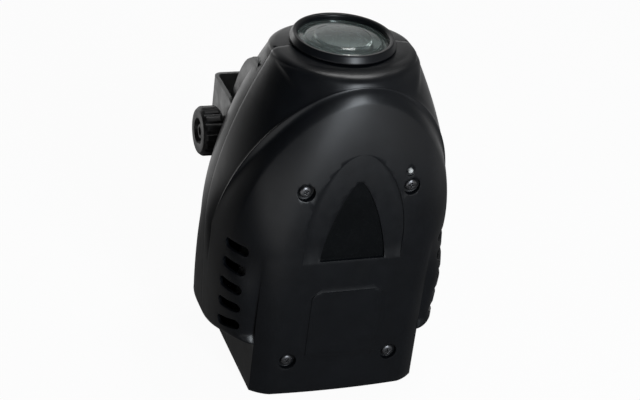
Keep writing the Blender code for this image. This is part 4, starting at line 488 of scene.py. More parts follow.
def rear_ring(z, half_width, depth, power, start_y, steps=56):
    """One level outline of the rear shell, from the right seam round the back to the left one."""
    ring = [Vector((half_width, start_y, z))]
    for i in range(steps + 1):
        a = pi * i / steps
        x = half_width * copysign(abs(cos(a)) ** (2 / power), cos(a))
        ring.append(Vector((x, between(SEAM_STRIP, depth, max(sin(a), 0) ** (2 / power)), z)))
    ring.append(Vector((-half_width, start_y, z)))
    return ring


def rear_levels():
    return pod_levels() + spread(EGG_Z, TOP_Z - TOP_ROUND, 32)


def loft(rings):
    """A closed body over level outlines with as many points each."""
    bm = bmesh.new()
    grid = [[bm.verts.new(point) for point in ring] for ring in rings]
    for low, high in zip(grid, grid[1:]):
        band(bm, low + low[:1], high + high[:1])
    bm.faces.new(grid[0])
    bm.faces.new(grid[-1])
    return closed(bm)


def rear_depth(z):
    return along(REAR_DEPTH, z) * MM


def rear_y(x, z):
    """The outer surface of the rear shell, above the pods' feet."""
    power = along(REAR_POWER, z)
    share = clamp(1 - (abs(x) / seam_half_width(z)) ** power)
    return between(SEAM_STRIP, rear_depth(z), share ** (1 / power))


def rear_outside():
    rings = []
    for z in rear_levels():
        power = along(REAR_POWER, z)
        rings.append(rear_ring(z, seam_half_width(z), rear_depth(z), power, SEAM_HALF))
    z = TOP_Z - TOP_ROUND
    depth, power = rear_depth(z), along(REAR_POWER, z)
    for roll in ROLLS:
        inset = TOP_ROUND * (1 - cos(roll))
        level = z + (TOP_ROUND - TOP_CROWN) * sin(roll)
        rings.append(rear_ring(level, TOP_HALF_WIDTH - inset, depth - inset, power, SEAM_HALF))
    rings.append(rear_ring(TOP_Z, CROWN_INNER, CROWN_INNER, power, SEAM_HALF))
    return settle(loft(rings))


def rear_inside():
    """The hollow of the rear shell, a wall smaller than its outside and open to the front and below."""
    front, roof, high = -2 * WALL, TOP_Z - TOP_ROUND, TOP_Z - TOP_CROWN - WALL
    levels = [z + WALL for z in rear_levels() if z > POD_LOW_Z / 2 and z + WALL < roof]
    rings = []
    for z in [-2 * WALL] + levels + [roof, high]:
        under = z - WALL
        half_width = min(seam_half_width(z), seam_half_width(under)) - WALL
        depth = min(rear_depth(z), rear_depth(under)) - WALL
        inset = TOP_ROUND - WALL if z == high else 0
        rings.append(rear_ring(z, half_width - inset, depth - inset, along(REAR_POWER, under), front))
    return settle(loft(rings))


# Materials

WHITE = (1, 1, 1, 1)
CLOUD_EDGES = (0.3, 0.7)
SPECK_EDGES = (0.56, 0.7)
WEAR_EDGES = (0.53, 0.6)
PATCH_EDGES = (0.42, 0.62)
PATCH_SCALE = 260.0
GLOSS_SCALE = 140.0
MADE = {}


def feed(tree, made, inputs):
    """Links each input of a node to the output given for it, or sets it to the value given."""
    for name, value in inputs.items():
        if isinstance(value, bpy.types.NodeSocket):
            tree.links.new(value, made.inputs[name])
        else:
            made.inputs[name].default_value = value


def node(tree, kind, inputs=None, **settings):
    made = tree.nodes.new(f"ShaderNode{kind}")
    for key, value in settings.items():
        setattr(made, key, value)
    feed(tree, made, inputs or {})
    return made


def noise(tree, place, scale, detail=3.0):
    inputs = {"Vector": place, "Scale": scale, "Detail": detail, "Roughness": 0.55}
    return node(tree, "TexNoise", inputs).outputs["Fac"]


def ranged(tree, value, edges, levels=(0.0, 1.0)):
    """Passes smoothly from one level to the other while the value passes between the edges."""
    inputs = {"Value": value, "From Min": edges[0], "From Max": edges[1]}
    inputs |= {"To Min": levels[0], "To Max": levels[1]}
    return node(tree, "MapRange", inputs, interpolation_type="SMOOTHSTEP").outputs["Result"]


def mixed(tree, factor, first, second):
    """A colour between two, each a colour or another node's output."""
    first, second = ((*side, 1) if isinstance(side, tuple) else side for side in (first, second))
    return node(tree, "Mix", {"Factor": factor, 6: first, 7: second}, data_type="RGBA").outputs[2]


def times(tree, first, second):
    return node(tree, "Math", {0: first, 1: second}, operation="MULTIPLY").outputs[0]


def larger(tree, first, second):
    return node(tree, "Math", {0: first, 1: second}, operation="MAXIMUM").outputs[0]


def object_place(tree, stretch=None):
    place = node(tree, "TexCoord").outputs["Object"]
    if stretch is None:
        return place
    return node(tree, "Mapping", {"Vector": place, "Scale": stretch}).outputs["Vector"]


def new_material(name):
    """A material, its node tree and its shader."""
    material = bpy.data.materials.new(name)
    material.use_nodes = True
    return material, material.node_tree, material.node_tree.nodes["Principled BSDF"]


def finish(name, colour, roughness, metallic=0.0, specular=0.5, coat=0.0, transmission=0.0, ior=1.5,
           sheen=0.0, stretch=None, cloud=70, vary=0.12, grain=1400, speck=0.0, speck_colour=None,
           wear=0.25, wear_colour=None, uneven=0.06, bump=0.12, bump_height=0.05):
    """A procedural finish: clouded colour and roughness, a fine grain, and worn edges."""
    if name in MADE:
        return MADE[name]
    material, tree, shader = new_material(name)
    place = object_place(tree, stretch)
    clouds = ranged(tree, noise(tree, place, cloud, 4.0), CLOUD_EDGES)
    dark, light = (tuple(min(c * share, 1.0) for c in colour) for share in (1 - vary, 1 + vary))
    paint = mixed(tree, clouds, dark, light)
    specks = noise(tree, place, grain, 2.0)
    if speck:
        specked = ranged(tree, specks, SPECK_EDGES, (0.0, speck))
        paint = mixed(tree, specked, paint, speck_colour or light)
    edges = node(tree, "NewGeometry").outputs["Pointiness"]
    patchy = ranged(tree, noise(tree, place, PATCH_SCALE, 4.0), PATCH_EDGES, (0.15, 1.0))
    worn = times(tree, ranged(tree, edges, WEAR_EDGES, (0.0, wear)), patchy)
    bare = wear_colour or tuple(min(c * 2 + 0.03, 1.0) for c in colour)
    gloss = (roughness - uneven, roughness + uneven)
    bumps = {"Strength": bump, "Distance": bump_height * MM, "Height": specks}
    feed(tree, shader, {
        "Base Color": mixed(tree, worn, paint, bare),
        "Roughness": ranged(tree, noise(tree, place, GLOSS_SCALE), CLOUD_EDGES, gloss),
        "Normal": node(tree, "Bump", bumps).outputs["Normal"],
        "Metallic": metallic,
        "Specular IOR Level": specular,
        "Coat Weight": coat,
        "Coat Roughness": 0.1,
        "Transmission Weight": transmission,
        "IOR": ior,
        "Sheen Weight": sheen,
        "Sheen Roughness": 0.4,
    })
    MADE[name] = material
    return material


def moulded_black():
    return finish("moulded_black", (0.0029, 0.0036, 0.005), 0.33, specular=0.42, cloud=45, vary=0.14,
                  grain=1500, bump=0.22, speck=0.08, speck_colour=(0.01, 0.01, 0.012), wear=0,
                  uneven=0.02)


def knob_black():
    return finish("knob_black", (0.005, 0.005, 0.0055), 0.42, specular=0.35, grain=1700, bump=0.2,
                  wear=0.35)


def pane_black():
    return finish("pane_black", (0.004, 0.0045, 0.005), 0.25, specular=0.1, cloud=30, grain=900,
                  bump=0.02, uneven=0.04, wear=0.1)


def powder_coat():
    return finish("powder_coat", (0.13, 0.134, 0.132), 0.4, specular=0.75, cloud=60, grain=700,
                  bump=0.35, bump_height=0.08, speck=0.3, speck_colour=(0.1, 0.1, 0.1), wear=0)


def dark_moulding():
    return finish("dark_moulding", (0.032, 0.032, 0.034), 0.5, specular=0.4, bump=0.2)


def white_moulding():
    return finish("white_moulding", (0.74, 0.74, 0.69), 0.45, vary=0.05, bump=0.1,
                  wear_colour=(0.85, 0.85, 0.82))


def zinc_steel():
    return finish("zinc_steel", (0.46, 0.47, 0.48), 0.3, metallic=1.0, vary=0.1, uneven=0.1, cloud=300,
                  wear=0.4, wear_colour=(0.72, 0.72, 0.73))


def dark_steel():
    return finish("dark_steel", (0.12, 0.12, 0.125), 0.3, metallic=0.9, vary=0.15, uneven=0.1,
                  cloud=300, wear=0.6, wear_colour=(0.3, 0.3, 0.31))


def zinc_sheet():
    return finish("zinc_plate", (0.56, 0.57, 0.585), 0.36, metallic=1.0, vary=0.16, uneven=0.1,
                  cloud=120, grain=500, wear=0.3, wear_colour=(0.75, 0.75, 0.76))


def turned_aluminium():
    return finish("turned_aluminium", (0.7, 0.71, 0.73), 0.32, metallic=1.0, vary=0.05, uneven=0.08,
                  stretch=(1.0, 1.0, 12.0), grain=600, bump=0.3, wear=0.3,
                  wear_colour=(0.86, 0.86, 0.87))


def turned_brass():
    return finish("turned_brass", (0.66, 0.48, 0.2), 0.28, metallic=1.0, vary=0.08, uneven=0.08,
                  stretch=(1.0, 12.0, 12.0), wear=0.4, wear_colour=(0.85, 0.7, 0.4))


def black_rubber():
    return finish("black_rubber", (0.02, 0.02, 0.02), 0.75, specular=0.25, bump=0.3, sheen=0.1)


def lacquered_board():
    return finish("lacquered_board", (0.025, 0.16, 0.07), 0.32, cloud=160, vary=0.3, grain=900,
                  speck=0.5, speck_colour=(0.1, 0.3, 0.14), coat=0.3, wear_colour=(0.5, 0.48, 0.3))


def lens_glass():
    return finish("lens_glass", (0.74, 0.86, 0.83), 0.04, transmission=0.93, ior=1.52, vary=0.03,
                  uneven=0.02, cloud=25, grain=300, bump=0.01, wear=0.0)


def clear_glass():
    return finish("clear_glass", (0.86, 0.93, 0.92), 0.04, transmission=0.95, vary=0.02, uneven=0.02,
                  bump=0.01, wear=0.0)


def lamp_lens():
    return finish("lamp_lens", (0.85, 0.86, 0.84), 0.2, transmission=0.35, ior=1.45, vary=0.04,
                  uneven=0.05, bump=0.05, wear=0.0)


def emitter_yellow():
    return finish("emitter_yellow", (0.75, 0.66, 0.25), 0.35, cloud=500, wear=0.0)


# Tools

HELPERS = []


def linked(name, data):
    obj = bpy.data.objects.new(name, data)
    bpy.context.scene.collection.objects.link(obj)
    return obj


def mesh_of(name, bm):
    mesh = bpy.data.meshes.new(name)
    bm.to_mesh(mesh)
    bm.free()
    return mesh


def solid(name, bm, place=None):
    """A piece about the lens axis. place sets its own frame down among the others."""
    bmesh.ops.remove_doubles(bm, verts=bm.verts, dist=0.001 * MM)
    obj = linked(name, mesh_of(name, bm))
    if place is not None:
        obj.data.transform(place)
    return obj


def helper(name, bm, place=None):
    """A body that only shapes others, and goes when they are finished."""
    obj = solid(name, bm, place)
    HELPERS.append(obj)
    return obj


def boolean(target, other, operation):
    modifier = target.modifiers.new(f"{operation.lower()} {other.name}", "BOOLEAN")
    modifier.operation = operation
    modifier.object = other
    modifier.solver = "EXACT"


def cut(target, other):
    boolean(target, other, "DIFFERENCE")


def join(target, other):
    boolean(target, other, "UNION")


def bevel(obj, width, segments, angle):
    rounding = obj.modifiers.new("rounded edges", "BEVEL")
    rounding.width = width
    rounding.segments = segments
    rounding.limit_method = "ANGLE"
    rounding.angle_limit = radians(angle)
    rounding.harden_normals = False


def baked(obj):
    """Puts what a piece's modifiers make of its mesh in that mesh's place."""
    bpy.context.view_layer.update()
    evaluated = obj.evaluated_get(bpy.context.evaluated_depsgraph_get())
    mesh = bpy.data.meshes.new_from_object(evaluated)
    obj.modifiers.clear()
    obj.data = mesh
    return mesh


def dressed(obj, material, body, slot, *nodes, angle=32):
    """Bakes a piece's modifiers, gives it its finish and sets it on its body."""
    mesh = baked(obj)
    mesh.transform(at(0, -MIDDLE_Y, 0))
    mesh.materials.clear()
    mesh.materials.append(material)
    mesh.shade_smooth()
    mesh.set_sharp_from_angle(angle=radians(angle))
    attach(obj, body)
    if nodes:
        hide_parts(*nodes)


def at(x, y, z):
    return Matrix.Translation((x, y, z))


def facing(place, direction):
    """A frame at a place, whose own Z axis looks along a direction."""
    turn = Vector((0, 0, 1)).rotation_difference(Vector(direction)).to_matrix().to_4x4()
    return Matrix.Translation(place) @ turn


def add_box(bm, low, high):
    low, high = Vector(low), Vector(high)
    matrix = Matrix.Translation((low + high) / 2) @ Matrix.Diagonal((*(high - low), 1))
    bmesh.ops.create_cube(bm, size=1, matrix=matrix)


def add_rod(bm, start, end, radius, steps=24):
    """A closed cylinder between two points."""
    start, end = Vector(start), Vector(end)
    frame_there = facing((start + end) / 2, end - start)
    size = {"radius1": radius, "radius2": radius, "depth": (end - start).length}
    bmesh.ops.create_cone(bm, cap_ends=True, segments=steps, matrix=frame_there, **size)


def rods(name, ends, radius, steps):
    """One helper of several cylinders that stay apart, such as a pattern of holes."""
    bm = bmesh.new()
    for start, end in ends:
        add_rod(bm, start, end, radius, steps)
    return helper(name, bm)


def pivot_rods(name, low, high, radius, steps):
    """Cylinders on the yoke's axis, one on each side."""
    ends = [((s * low, PIVOT_Y, PIVOT_Z), (s * high, PIVOT_Y, PIVOT_Z)) for s in (-1, 1)]
    return rods(name, ends, radius, steps)


def turned(profile, steps):
    """A closed profile of (radius, height) points, spun about the local Z axis."""
    bm = bmesh.new()
    ring = [bm.verts.new((radius, 0, height)) for radius, height in profile]
    edges = [bm.edges.new((a, b)) for a, b in zip(ring, ring[1:] + ring[:1])]
    bmesh.ops.spin(
        bm, geom=ring + edges, cent=(0, 0, 0), axis=(0, 0, 1), angle=tau, steps=steps, use_merge=True
    )
    bmesh.ops.remove_doubles(bm, verts=bm.verts, dist=0.002 * MM)
    loose = [edge for edge in bm.edges if not edge.link_faces]
    bmesh.ops.delete(bm, geom=loose, context="EDGES")
    return closed(bm)


def prism(outline, low, high):
    """A flat outline in the local XY plane, raised from low to high."""
    bm = bmesh.new()
    face = bm.faces.new([bm.verts.new((x, y, low)) for x, y in outline])
    moved = bmesh.ops.extrude_face_region(bm, geom=[face])
    top = [item for item in moved["geom"] if isinstance(item, bmesh.types.BMVert)]
    bmesh.ops.translate(bm, verts=top, vec=(0, 0, high - low))
    return closed(bm)


def circle(radius, steps, centre=(0, 0), start=0.0, turn=tau):
    """Points on an arc; a full turn leaves out its repeated end."""
    count = steps if turn == tau else steps + 1
    angles = [start + turn * i / steps for i in range(count)]
    return [(centre[0] + radius * cos(a), centre[1] + radius * sin(a)) for a in angles]


def rounded(profile, radii, steps):
    """The profile with its numbered corners rounded off, each by its own radius."""
    points = []
    for i, corner in enumerate(profile):
        if i not in radii:
            points.append(corner)
            continue
        corner = Vector(corner)
        before, after = Vector(profile[i - 1]), Vector(profile[(i + 1) % len(profile)])
        start = corner + (before - corner).normalized() * radii[i]
        end = corner + (after - corner).normalized() * radii[i]
        points += [tuple(curve(start, corner, end, t)) for t in shares(steps)]
    return points


def face_slab(levels, half_width, outer, inner):
    """A slab that follows the front face: at each level as wide as half_width, between two distances
    behind the face; either may be a function of the height."""
    bm = bmesh.new()
    layers = []
    for depth in (outer, inner):
        rows = []
        for z in levels:
            behind = depth(z) if callable(depth) else depth
            reach = half_width(z)
            xs = [reach * (2 * share - 1) for share in shares(SLAB_COLUMNS)]
            rows.append([Vector((x, face_y(x, z) + behind, z)) for x in xs])
        layers.append(skin(bm, rows))
    front, back = layers
    for end in (0, -1):
        band(bm, front[end], back[end])
    for side in (0, -1):
        band(bm, [row[side] for row in front], [row[side] for row in back])
    return closed(bm)


def tip_levels(low, high, steps):
    """Heights that close up towards an arch's tip."""
    return [low + (high - low) * (1 - (1 - share) ** 2) for share in shares(steps)]


def arch_half_width(z, low, top, half, power, straight=0.0):
    """The half width of an upright arch, straight-sided up to a share of its height."""
    t = clamp(((z - low) / (top - low) - straight) / (1 - straight))
    return max(half * (1 - t**power) ** (1 / power), ARCH_TIP)


def surface_post(x, z, start_y, surface, sink, radius, steps=40):
    """A post along Y from start_y to a curved wall, whose far end follows the wall's surface."""
    bm = bmesh.new()
    ring = circle(radius, steps, (x, z))
    start = [bm.verts.new((px, start_y, pz)) for px, pz in ring]
    end = [bm.verts.new((px, surface(px, pz) + sink, pz)) for px, pz in ring]
    middle = bm.verts.new((x, surface(x, z) + sink, z))
    bm.faces.new(start)
    for a, b, c, d in zip(start, start[1:] + start[:1], end[1:] + end[:1], end):
        bm.faces.new((a, b, c, d))
        bm.faces.new((d, c, middle))
    return closed(bm)


# Shells


def screw_places(high_z):
    return [(side * SCREW_X, z) for z in (high_z, SCREW_LOW_Z) for side in (-1, 1)]


def screw_posts(shell, name, high_z, surface, outward, start_y, radius):
    """Joins the screws' posts to a shell, and makes the cutters of their counterbores and holes."""
    bores, holes = [], []
    for i, (x, z) in enumerate(screw_places(high_z)):
        post = surface_post(x, z, start_y, surface, -outward * WALL / 2, radius)
        join(shell, helper(f"{name}_post_{i + 1}", post))
        floor = surface(x, z) - outward * COUNTERBORE_DEPTH
        bores.append(((x, floor, z), (x, floor + outward * CUT_REACH, z)))
        holes.append(((x, floor + outward * MM, z), (x, start_y - outward * MM, z)))
    counterbores = rods(f"{name}_counterbores", bores, COUNTERBORE_RADIUS, 40)
    return counterbores, rods(f"{name}_holes", holes, SCREW_RADIUS + GAP, 20)


def lens_hole(name):
    ends = [((0, 0, TOP_Z - CUT_REACH), (0, 0, TOP_Z + CUT_REACH))]
    return rods(name, ends, LENS_HOLE_RADIUS, 96)


def label_field():
    """The raised field under the window, with rounded upper corners."""
    round_z = LABEL_TOP_Z - LABEL_ROUND
    rows = [between(LABEL_LOW_Z, round_z, share) for share in shares(12)[:-1]]
    rows += [LABEL_TOP_Z - LABEL_ROUND * (1 - sin(radians(a))) for a in range(0, 91, 9)]

    def half(z):
        drop = max(z - round_z, 0)
        return LABEL_HALF - LABEL_ROUND + sqrt(max(LABEL_ROUND**2 - drop**2, 0))

    return face_slab(rows, half, -LABEL_RISE, WALL / 2)


def window_half(z, grow=0.0):
    """The half width of the window, or of an arch that is larger by grow all round."""
    low, top = WINDOW_LOW_Z - grow, WINDOW_TOP_Z + grow
    return arch_half_width(z, low, top, WINDOW_HALF + grow, WINDOW_POWER)


def window_backing():
    """The thicker wall behind the window, in the shape of a larger arch."""
    rows = spread(WINDOW_LOW_Z - WINDOW_BORDER, WINDOW_TOP_Z + WINDOW_BORDER, 24)
    return face_slab(rows, lambda z: window_half(z, WINDOW_BORDER), WALL / 2, WALL + WINDOW_BACKING)


def arch_recess():
    """Cuts the shallow arch round the window, which runs out into the face at its foot."""
    low, fade = ARCH_RECESS_LOW_Z, ARCH_RECESS_FADE

    def half(z):
        return arch_half_width(z, low, ARCH_RECESS_TOP_Z, ARCH_RECESS_HALF, ARCH_POWER, ARCH_STRAIGHT)

    def depth(z):
        return ARCH_RECESS_DEPTH - ARCH_RECESS_LIFT * (1 - smooth(low - fade, low + 2 * fade, z))

    return face_slab(tip_levels(low - fade, ARCH_RECESS_TOP_Z, 36), half, -3 * MM, depth)


def vent_cutters():
    """Round-ended slots across the pods' rounded front corners, more slanted towards the foot."""
    bm = bmesh.new()
    for z, drop in zip(VENT_FRONT_Z, VENT_REAR_DROP):
        for side in (-1, 1):
            start = Vector((side * VENT_FRONT[0], VENT_FRONT[1], z))
            end = Vector((side * VENT_REAR[0], VENT_REAR[1], z - drop))
            along_slot = (end - start).normalized()
            outward = Vector((side * (end.y - start.y), -abs(end.x - start.x), 0)).normalized()
            upward = along_slot.cross(outward) * side * -1
            half = (end - start).length / 2 - VENT_HEIGHT / 2
            outline = circle(VENT_HEIGHT / 2, 14, (half, 0), -pi / 2, pi)
            outline += circle(VENT_HEIGHT / 2, 14, (-half, 0), pi / 2, pi)
            slot = prism(outline, -VENT_REACH, VENT_REACH + 2 * MM)
            slot_frame = Matrix((along_slot, upward, outward)).transposed().to_4x4()
            slot_frame.translation = (start + end) / 2
            bmesh.ops.transform(slot, matrix=slot_frame, verts=slot.verts)
            mesh = mesh_of("slot", closed(slot))
            bm.from_mesh(mesh)
            bpy.data.meshes.remove(mesh)
    return helper("vent_slots", bm)


def front_shell():
    shell = solid("front_shell", front_skin())
    wall = shell.modifiers.new("wall", "SOLIDIFY")
    wall.thickness = FRONT_WALL
    wall.offset = -1
    wall.use_even_offset = True
    join(shell, helper("label_field", label_field()))
    join(shell, helper("window_backing", window_backing()))
    cut(shell, helper("arch_recess", arch_recess()))
    rows = tip_levels(WINDOW_LOW_Z, WINDOW_TOP_Z, 30)
    cut(shell, helper("window_recess", face_slab(rows, window_half, -4 * MM, WINDOW_DEPTH)))
    end_y = CHASSIS_FRONT_Y - GAP
    posts = ("front", FRONT_SCREW_HIGH_Z, face_y, -1, end_y, FRONT_POST_RADIUS)
    counterbores, holes = screw_posts(shell, *posts)
    x, y, z = LAMP_X, face_y(LAMP_X, LAMP_Z), LAMP_Z
    front = (x, y - LAMP_LENGTH, z)
    lamp_sink = rods("lamp_sink", [(front, (x, y + LAMP_SINK, z))], 2 * LAMP_RADIUS, 40)
    lamp_hole = rods("lamp_hole", [(front, (x, y + LAMP_LENGTH + 2 * MM, z))], LAMP_RADIUS + GAP, 32)
    openings = (lens_hole("front_lens_hole"), lamp_sink, lamp_hole, vent_cutters())
    for cutter in (counterbores, holes) + openings:
        cut(shell, cutter)
    bevel(shell, SHELL_EDGE, 2, 39)
    dressed(shell, moulded_black(), "housing", "black_plastic", "front_cover", angle=48)


def window_pane():
    """The glossy insert in the arch-shaped window."""
    rows = tip_levels(WINDOW_LOW_Z + PANE_INSET, WINDOW_TOP_Z - 2 * PANE_INSET, 30)
    outer, inner = WINDOW_DEPTH - PANE_THICKNESS, WINDOW_DEPTH - PANE_SEAT
    pane = solid("window_pane", face_slab(rows, lambda z: window_half(z) - PANE_INSET, outer, inner))
    bevel(pane, 0.25 * MM, 2, 32)
    dressed(pane, pane_black(), "housing", "black_plastic")


def cheek_reach(z):
    """How far back the flat cheek reaches at a height, on a smooth curve through the table."""
    z = z / MM
    last = len(CHEEK_REACH) - 1
    i = max(n for n in range(last) if z >= CHEEK_REACH[n][0] or n == 0)
    (z0, v0), (z1, v1) = CHEEK_REACH[i], CHEEK_REACH[i + 1]
    before, after = CHEEK_REACH[max(i - 1, 0)], CHEEK_REACH[min(i + 2, last)]
    slope_0 = (v1 - before[1]) / (z1 - before[0]) * (z1 - z0)
    slope_1 = (after[1] - v0) / (after[0] - z0) * (z1 - z0)
    t = clamp((z - z0) / (z1 - z0))
    held = v0 * (2 * t**3 - 3 * t**2 + 1) + v1 * (3 * t**2 - 2 * t**3)
    return (held + slope_0 * (t**3 - 2 * t**2 + t) + slope_1 * (t**3 - t**2)) * MM


def cheek(side):
    """A cheek that falls from its flat outer plane in a rounded slope to the shell's back."""
    plane, start = CHEEK_X + GAP, 4 * MM
    rings = []
    for z in spread(CHEEK_REACH[0][0] * MM, CHEEK_REACH[-1][0] * MM, 44):
        reach = cheek_reach(z)
        foot = CHEEK_FOOT_SHARE * reach
        ring = [Vector((side * CHEEK_FOOT_X, start, z)), Vector((side * plane, start, z))]
        for share in shares(9):
            x = between(plane, CHEEK_FOOT_X, share)
            ring.append(Vector((side * x, between(reach, foot, share**CHEEK_POWER), z)))
        rings.append(ring)
    return loft(rings)


def seam_lips():
    """Strips inside the base, which close the seam between the shells from within."""
    bm = bmesh.new()
    for side in (-1, 1):
        inner, outer = BASE_HALF_WIDTH - WALL - SEAM_LIP, BASE_HALF_WIDTH - WALL + SEAM_HALF
        low_x, high_x = sorted((side * inner, side * outer))
        add_box(bm, (low_x, -2 * SEAM_LIP, SEAM_HALF), (high_x, 2 * SEAM_LIP, SEAM_LIP_TOP))
    return bm


def rear_shell():
    shell = solid("rear_shell", rear_outside())
    for side, name in ((-1, "left"), (1, "right")):
        join(shell, helper(f"cheek_{name}", cheek(side)))
    cut(shell, pivot_rods("yoke_pockets", CHEEK_X, 2 * CHEEK_X, POCKET_RADIUS, 96))
    hollow = helper("rear_hollow", rear_inside())
    cut(hollow, pivot_rods("pocket_walls", CHEEK_X - WALL, 2 * CHEEK_X, POCKET_RADIUS + WALL, 96))
    cut(hollow, pivot_rods("pivot_bosses", PIVOT_BOSS_X, CHEEK_X, PIVOT_BOSS_RADIUS, 40))
    cut(shell, hollow)
    start_y = CHASSIS_REAR_Y + GAP
    posts = ("rear", REAR_SCREW_HIGH_Z, rear_y, 1, start_y, REAR_POST_RADIUS)
    counterbores, holes = screw_posts(shell, *posts)
    join(shell, helper("seam_lips", seam_lips()))
    inserts = pivot_rods("insert_holes", INSERT_INNER_X - GAP, CHEEK_X + MM, INSERT_RADIUS + GAP, 32)
    for cutter in (counterbores, holes, lens_hole("rear_lens_hole"), inserts):
        cut(shell, cutter)
    bevel(shell, SHELL_EDGE, 2, 55)
    dressed(shell, moulded_black(), "housing", "black_plastic", "rear_cover", angle=45)


# Screws and lamp


def case_screw(name, place):
    """A cross-head screw's head, washer face and shank, made upright and then set in its place."""
    radius, height = SCREW_HEAD_RADIUS, SCREW_HEAD_HEIGHT
    profile = [(0, -SCREW_LENGTH), (SCREW_RADIUS, -SCREW_LENGTH), (SCREW_RADIUS, 0), (radius, 0)]
    profile.append((radius, height * HEAD_FLANK))
    for roll in ROLLS:
        across, up = between(HEAD_FLAT, 1, cos(roll)), between(HEAD_FLANK, 1, sin(roll))
        profile.append((radius * across, height * up))
    profile.append((0, height))
    made = solid(f"fine_{name}", turned(profile, 40))
    arm, web = radius * CROSS_ARM, radius * CROSS_WEB
    outline = [(web, web), (web, arm), (-web, arm)]
    for _ in range(3):
        outline += [(-y, x) for x, y in outline[-3:]]
    bm = prism(outline, -height * CROSS_DEPTH, MM)
    for vert in bm.verts:
        if vert.co.z < 0:
            vert.co.x *= CROSS_TAPER
            vert.co.y *= CROSS_TAPER
    cut(made, helper(f"fine_{name}_recess", bm, at(0, 0, height)))
    bevel(made, 0.12 * MM, 2, 40)
    baked(made).transform(place)
    dressed(made, dark_steel(), "housing", "steel", name)


def case_screws():
    """The screws of both shells, each turned a little differently."""
    front = ("case_screw", FRONT_SCREW_HIGH_Z, face_y, -1, 0.4)
    rear = ("rear_screw", REAR_SCREW_HIGH_Z, rear_y, 1, 0.7)
    for name, high_z, surface, outward, turn in (front, rear):
        for i, (x, z) in enumerate(screw_places(high_z)):
            y = surface(x, z) - outward * COUNTERBORE_DEPTH
            place = facing((x, y, z), (0, outward, 0)) @ Matrix.Rotation(turn + i, 4, "Z")
            case_screw(f"{name}_{i + 1}", place)


def status_lamp():
    dome = [(LAMP_RADIUS * cos(a), LAMP_RADIUS * sin(a)) for a in (0, 0.3, 0.6, 0.9, 1.2)]
    profile = [(0, -LAMP_LENGTH), (LAMP_RADIUS, -LAMP_LENGTH)] + dome + [(0, LAMP_RADIUS)]
    place = facing((LAMP_X, face_y(LAMP_X, LAMP_Z) + LAMP_SEAT, LAMP_Z), (0, -1, 0))
    lens = solid("fine_status_lamp", turned(profile, 32), place)
    dressed(lens, lamp_lens(), "housing", "glass", "status_lamp", angle=40)


# Lens


def lens_collar():
    foot, top, lip = TOP_Z + GAP, TOP_Z + GAP + COLLAR_HEIGHT, LENS_TOP_Z + 2 * GAP
    bore, outside = LENS_RADIUS + GAP, LENS_HOLE_RADIUS - GAP
    profile = [(bore, foot - SKIRT_DEPTH), (outside, foot - SKIRT_DEPTH), (outside, foot)]
    profile += [(COLLAR_RADIUS, foot), (COLLAR_RADIUS, foot + MM), (COLLAR_TOP_RADIUS, top - 0.8 * MM)]
    profile += [(COLLAR_TOP_RADIUS - 0.6 * MM, top), (COLLAR_BORE + 0.9 * MM, top - 0.2 * MM)]
    profile += [(COLLAR_BORE, top - MM), (COLLAR_BORE, lip), (bore, lip)]
    radii = dict.fromkeys((3, 6, 7), 0.3 * MM) | dict.fromkeys((4, 5, 8), 0.4 * MM)
    collar = solid("lens_collar", turned(rounded(profile, radii, 5), 128))
    dressed(collar, moulded_black(), "housing", "black_plastic", "lens_bezel", angle=50)


def front_lens():
    """The domed lens, with a few fine steps towards its edge."""
    top, foot = LENS_TOP_Z, LENS_TOP_Z - LENS_EDGE
    profile = [(0, foot), (LENS_RADIUS, foot), (LENS_RADIUS, top)]
    for share in reversed(shares(48)[1:]):
        dome = LENS_DOME * sqrt(1 - share * share)
        for start, end, drop in LENS_STEPS:
            dome -= drop * smooth(start, end, share)
        profile.append(((COLLAR_BORE - GAP) * share, top + max(dome, LENS_RIM)))
    profile.append((0, top + LENS_DOME))
    lens = solid("front_lens", turned(profile, 128))
    dressed(lens, lens_glass(), "housing", "glass", "objective_lens", angle=40)


# Yoke and knobs


def yoke_profile():
    """The bent strip from above, about its axis: along its outer line, and back along the inner one."""
    start = -ARM_RADIUS - 2 * MM
    centre = (ARM_X - YOKE_BEND, YOKE_REACH - YOKE_BEND)
    outside = circle(YOKE_BEND + YOKE_SHEET, 14, centre, 0, pi / 2)
    inside = circle(YOKE_BEND, 14, centre, 0, pi / 2)
    half = [(ARM_X + YOKE_SHEET, start)] + outside
    points = half + [(-x, y) for x, y in reversed(half)]
    points += [(-ARM_X, start)] + [(-x, y) for x, y in inside]
    return points + inside[::-1] + [(ARM_X, start)]


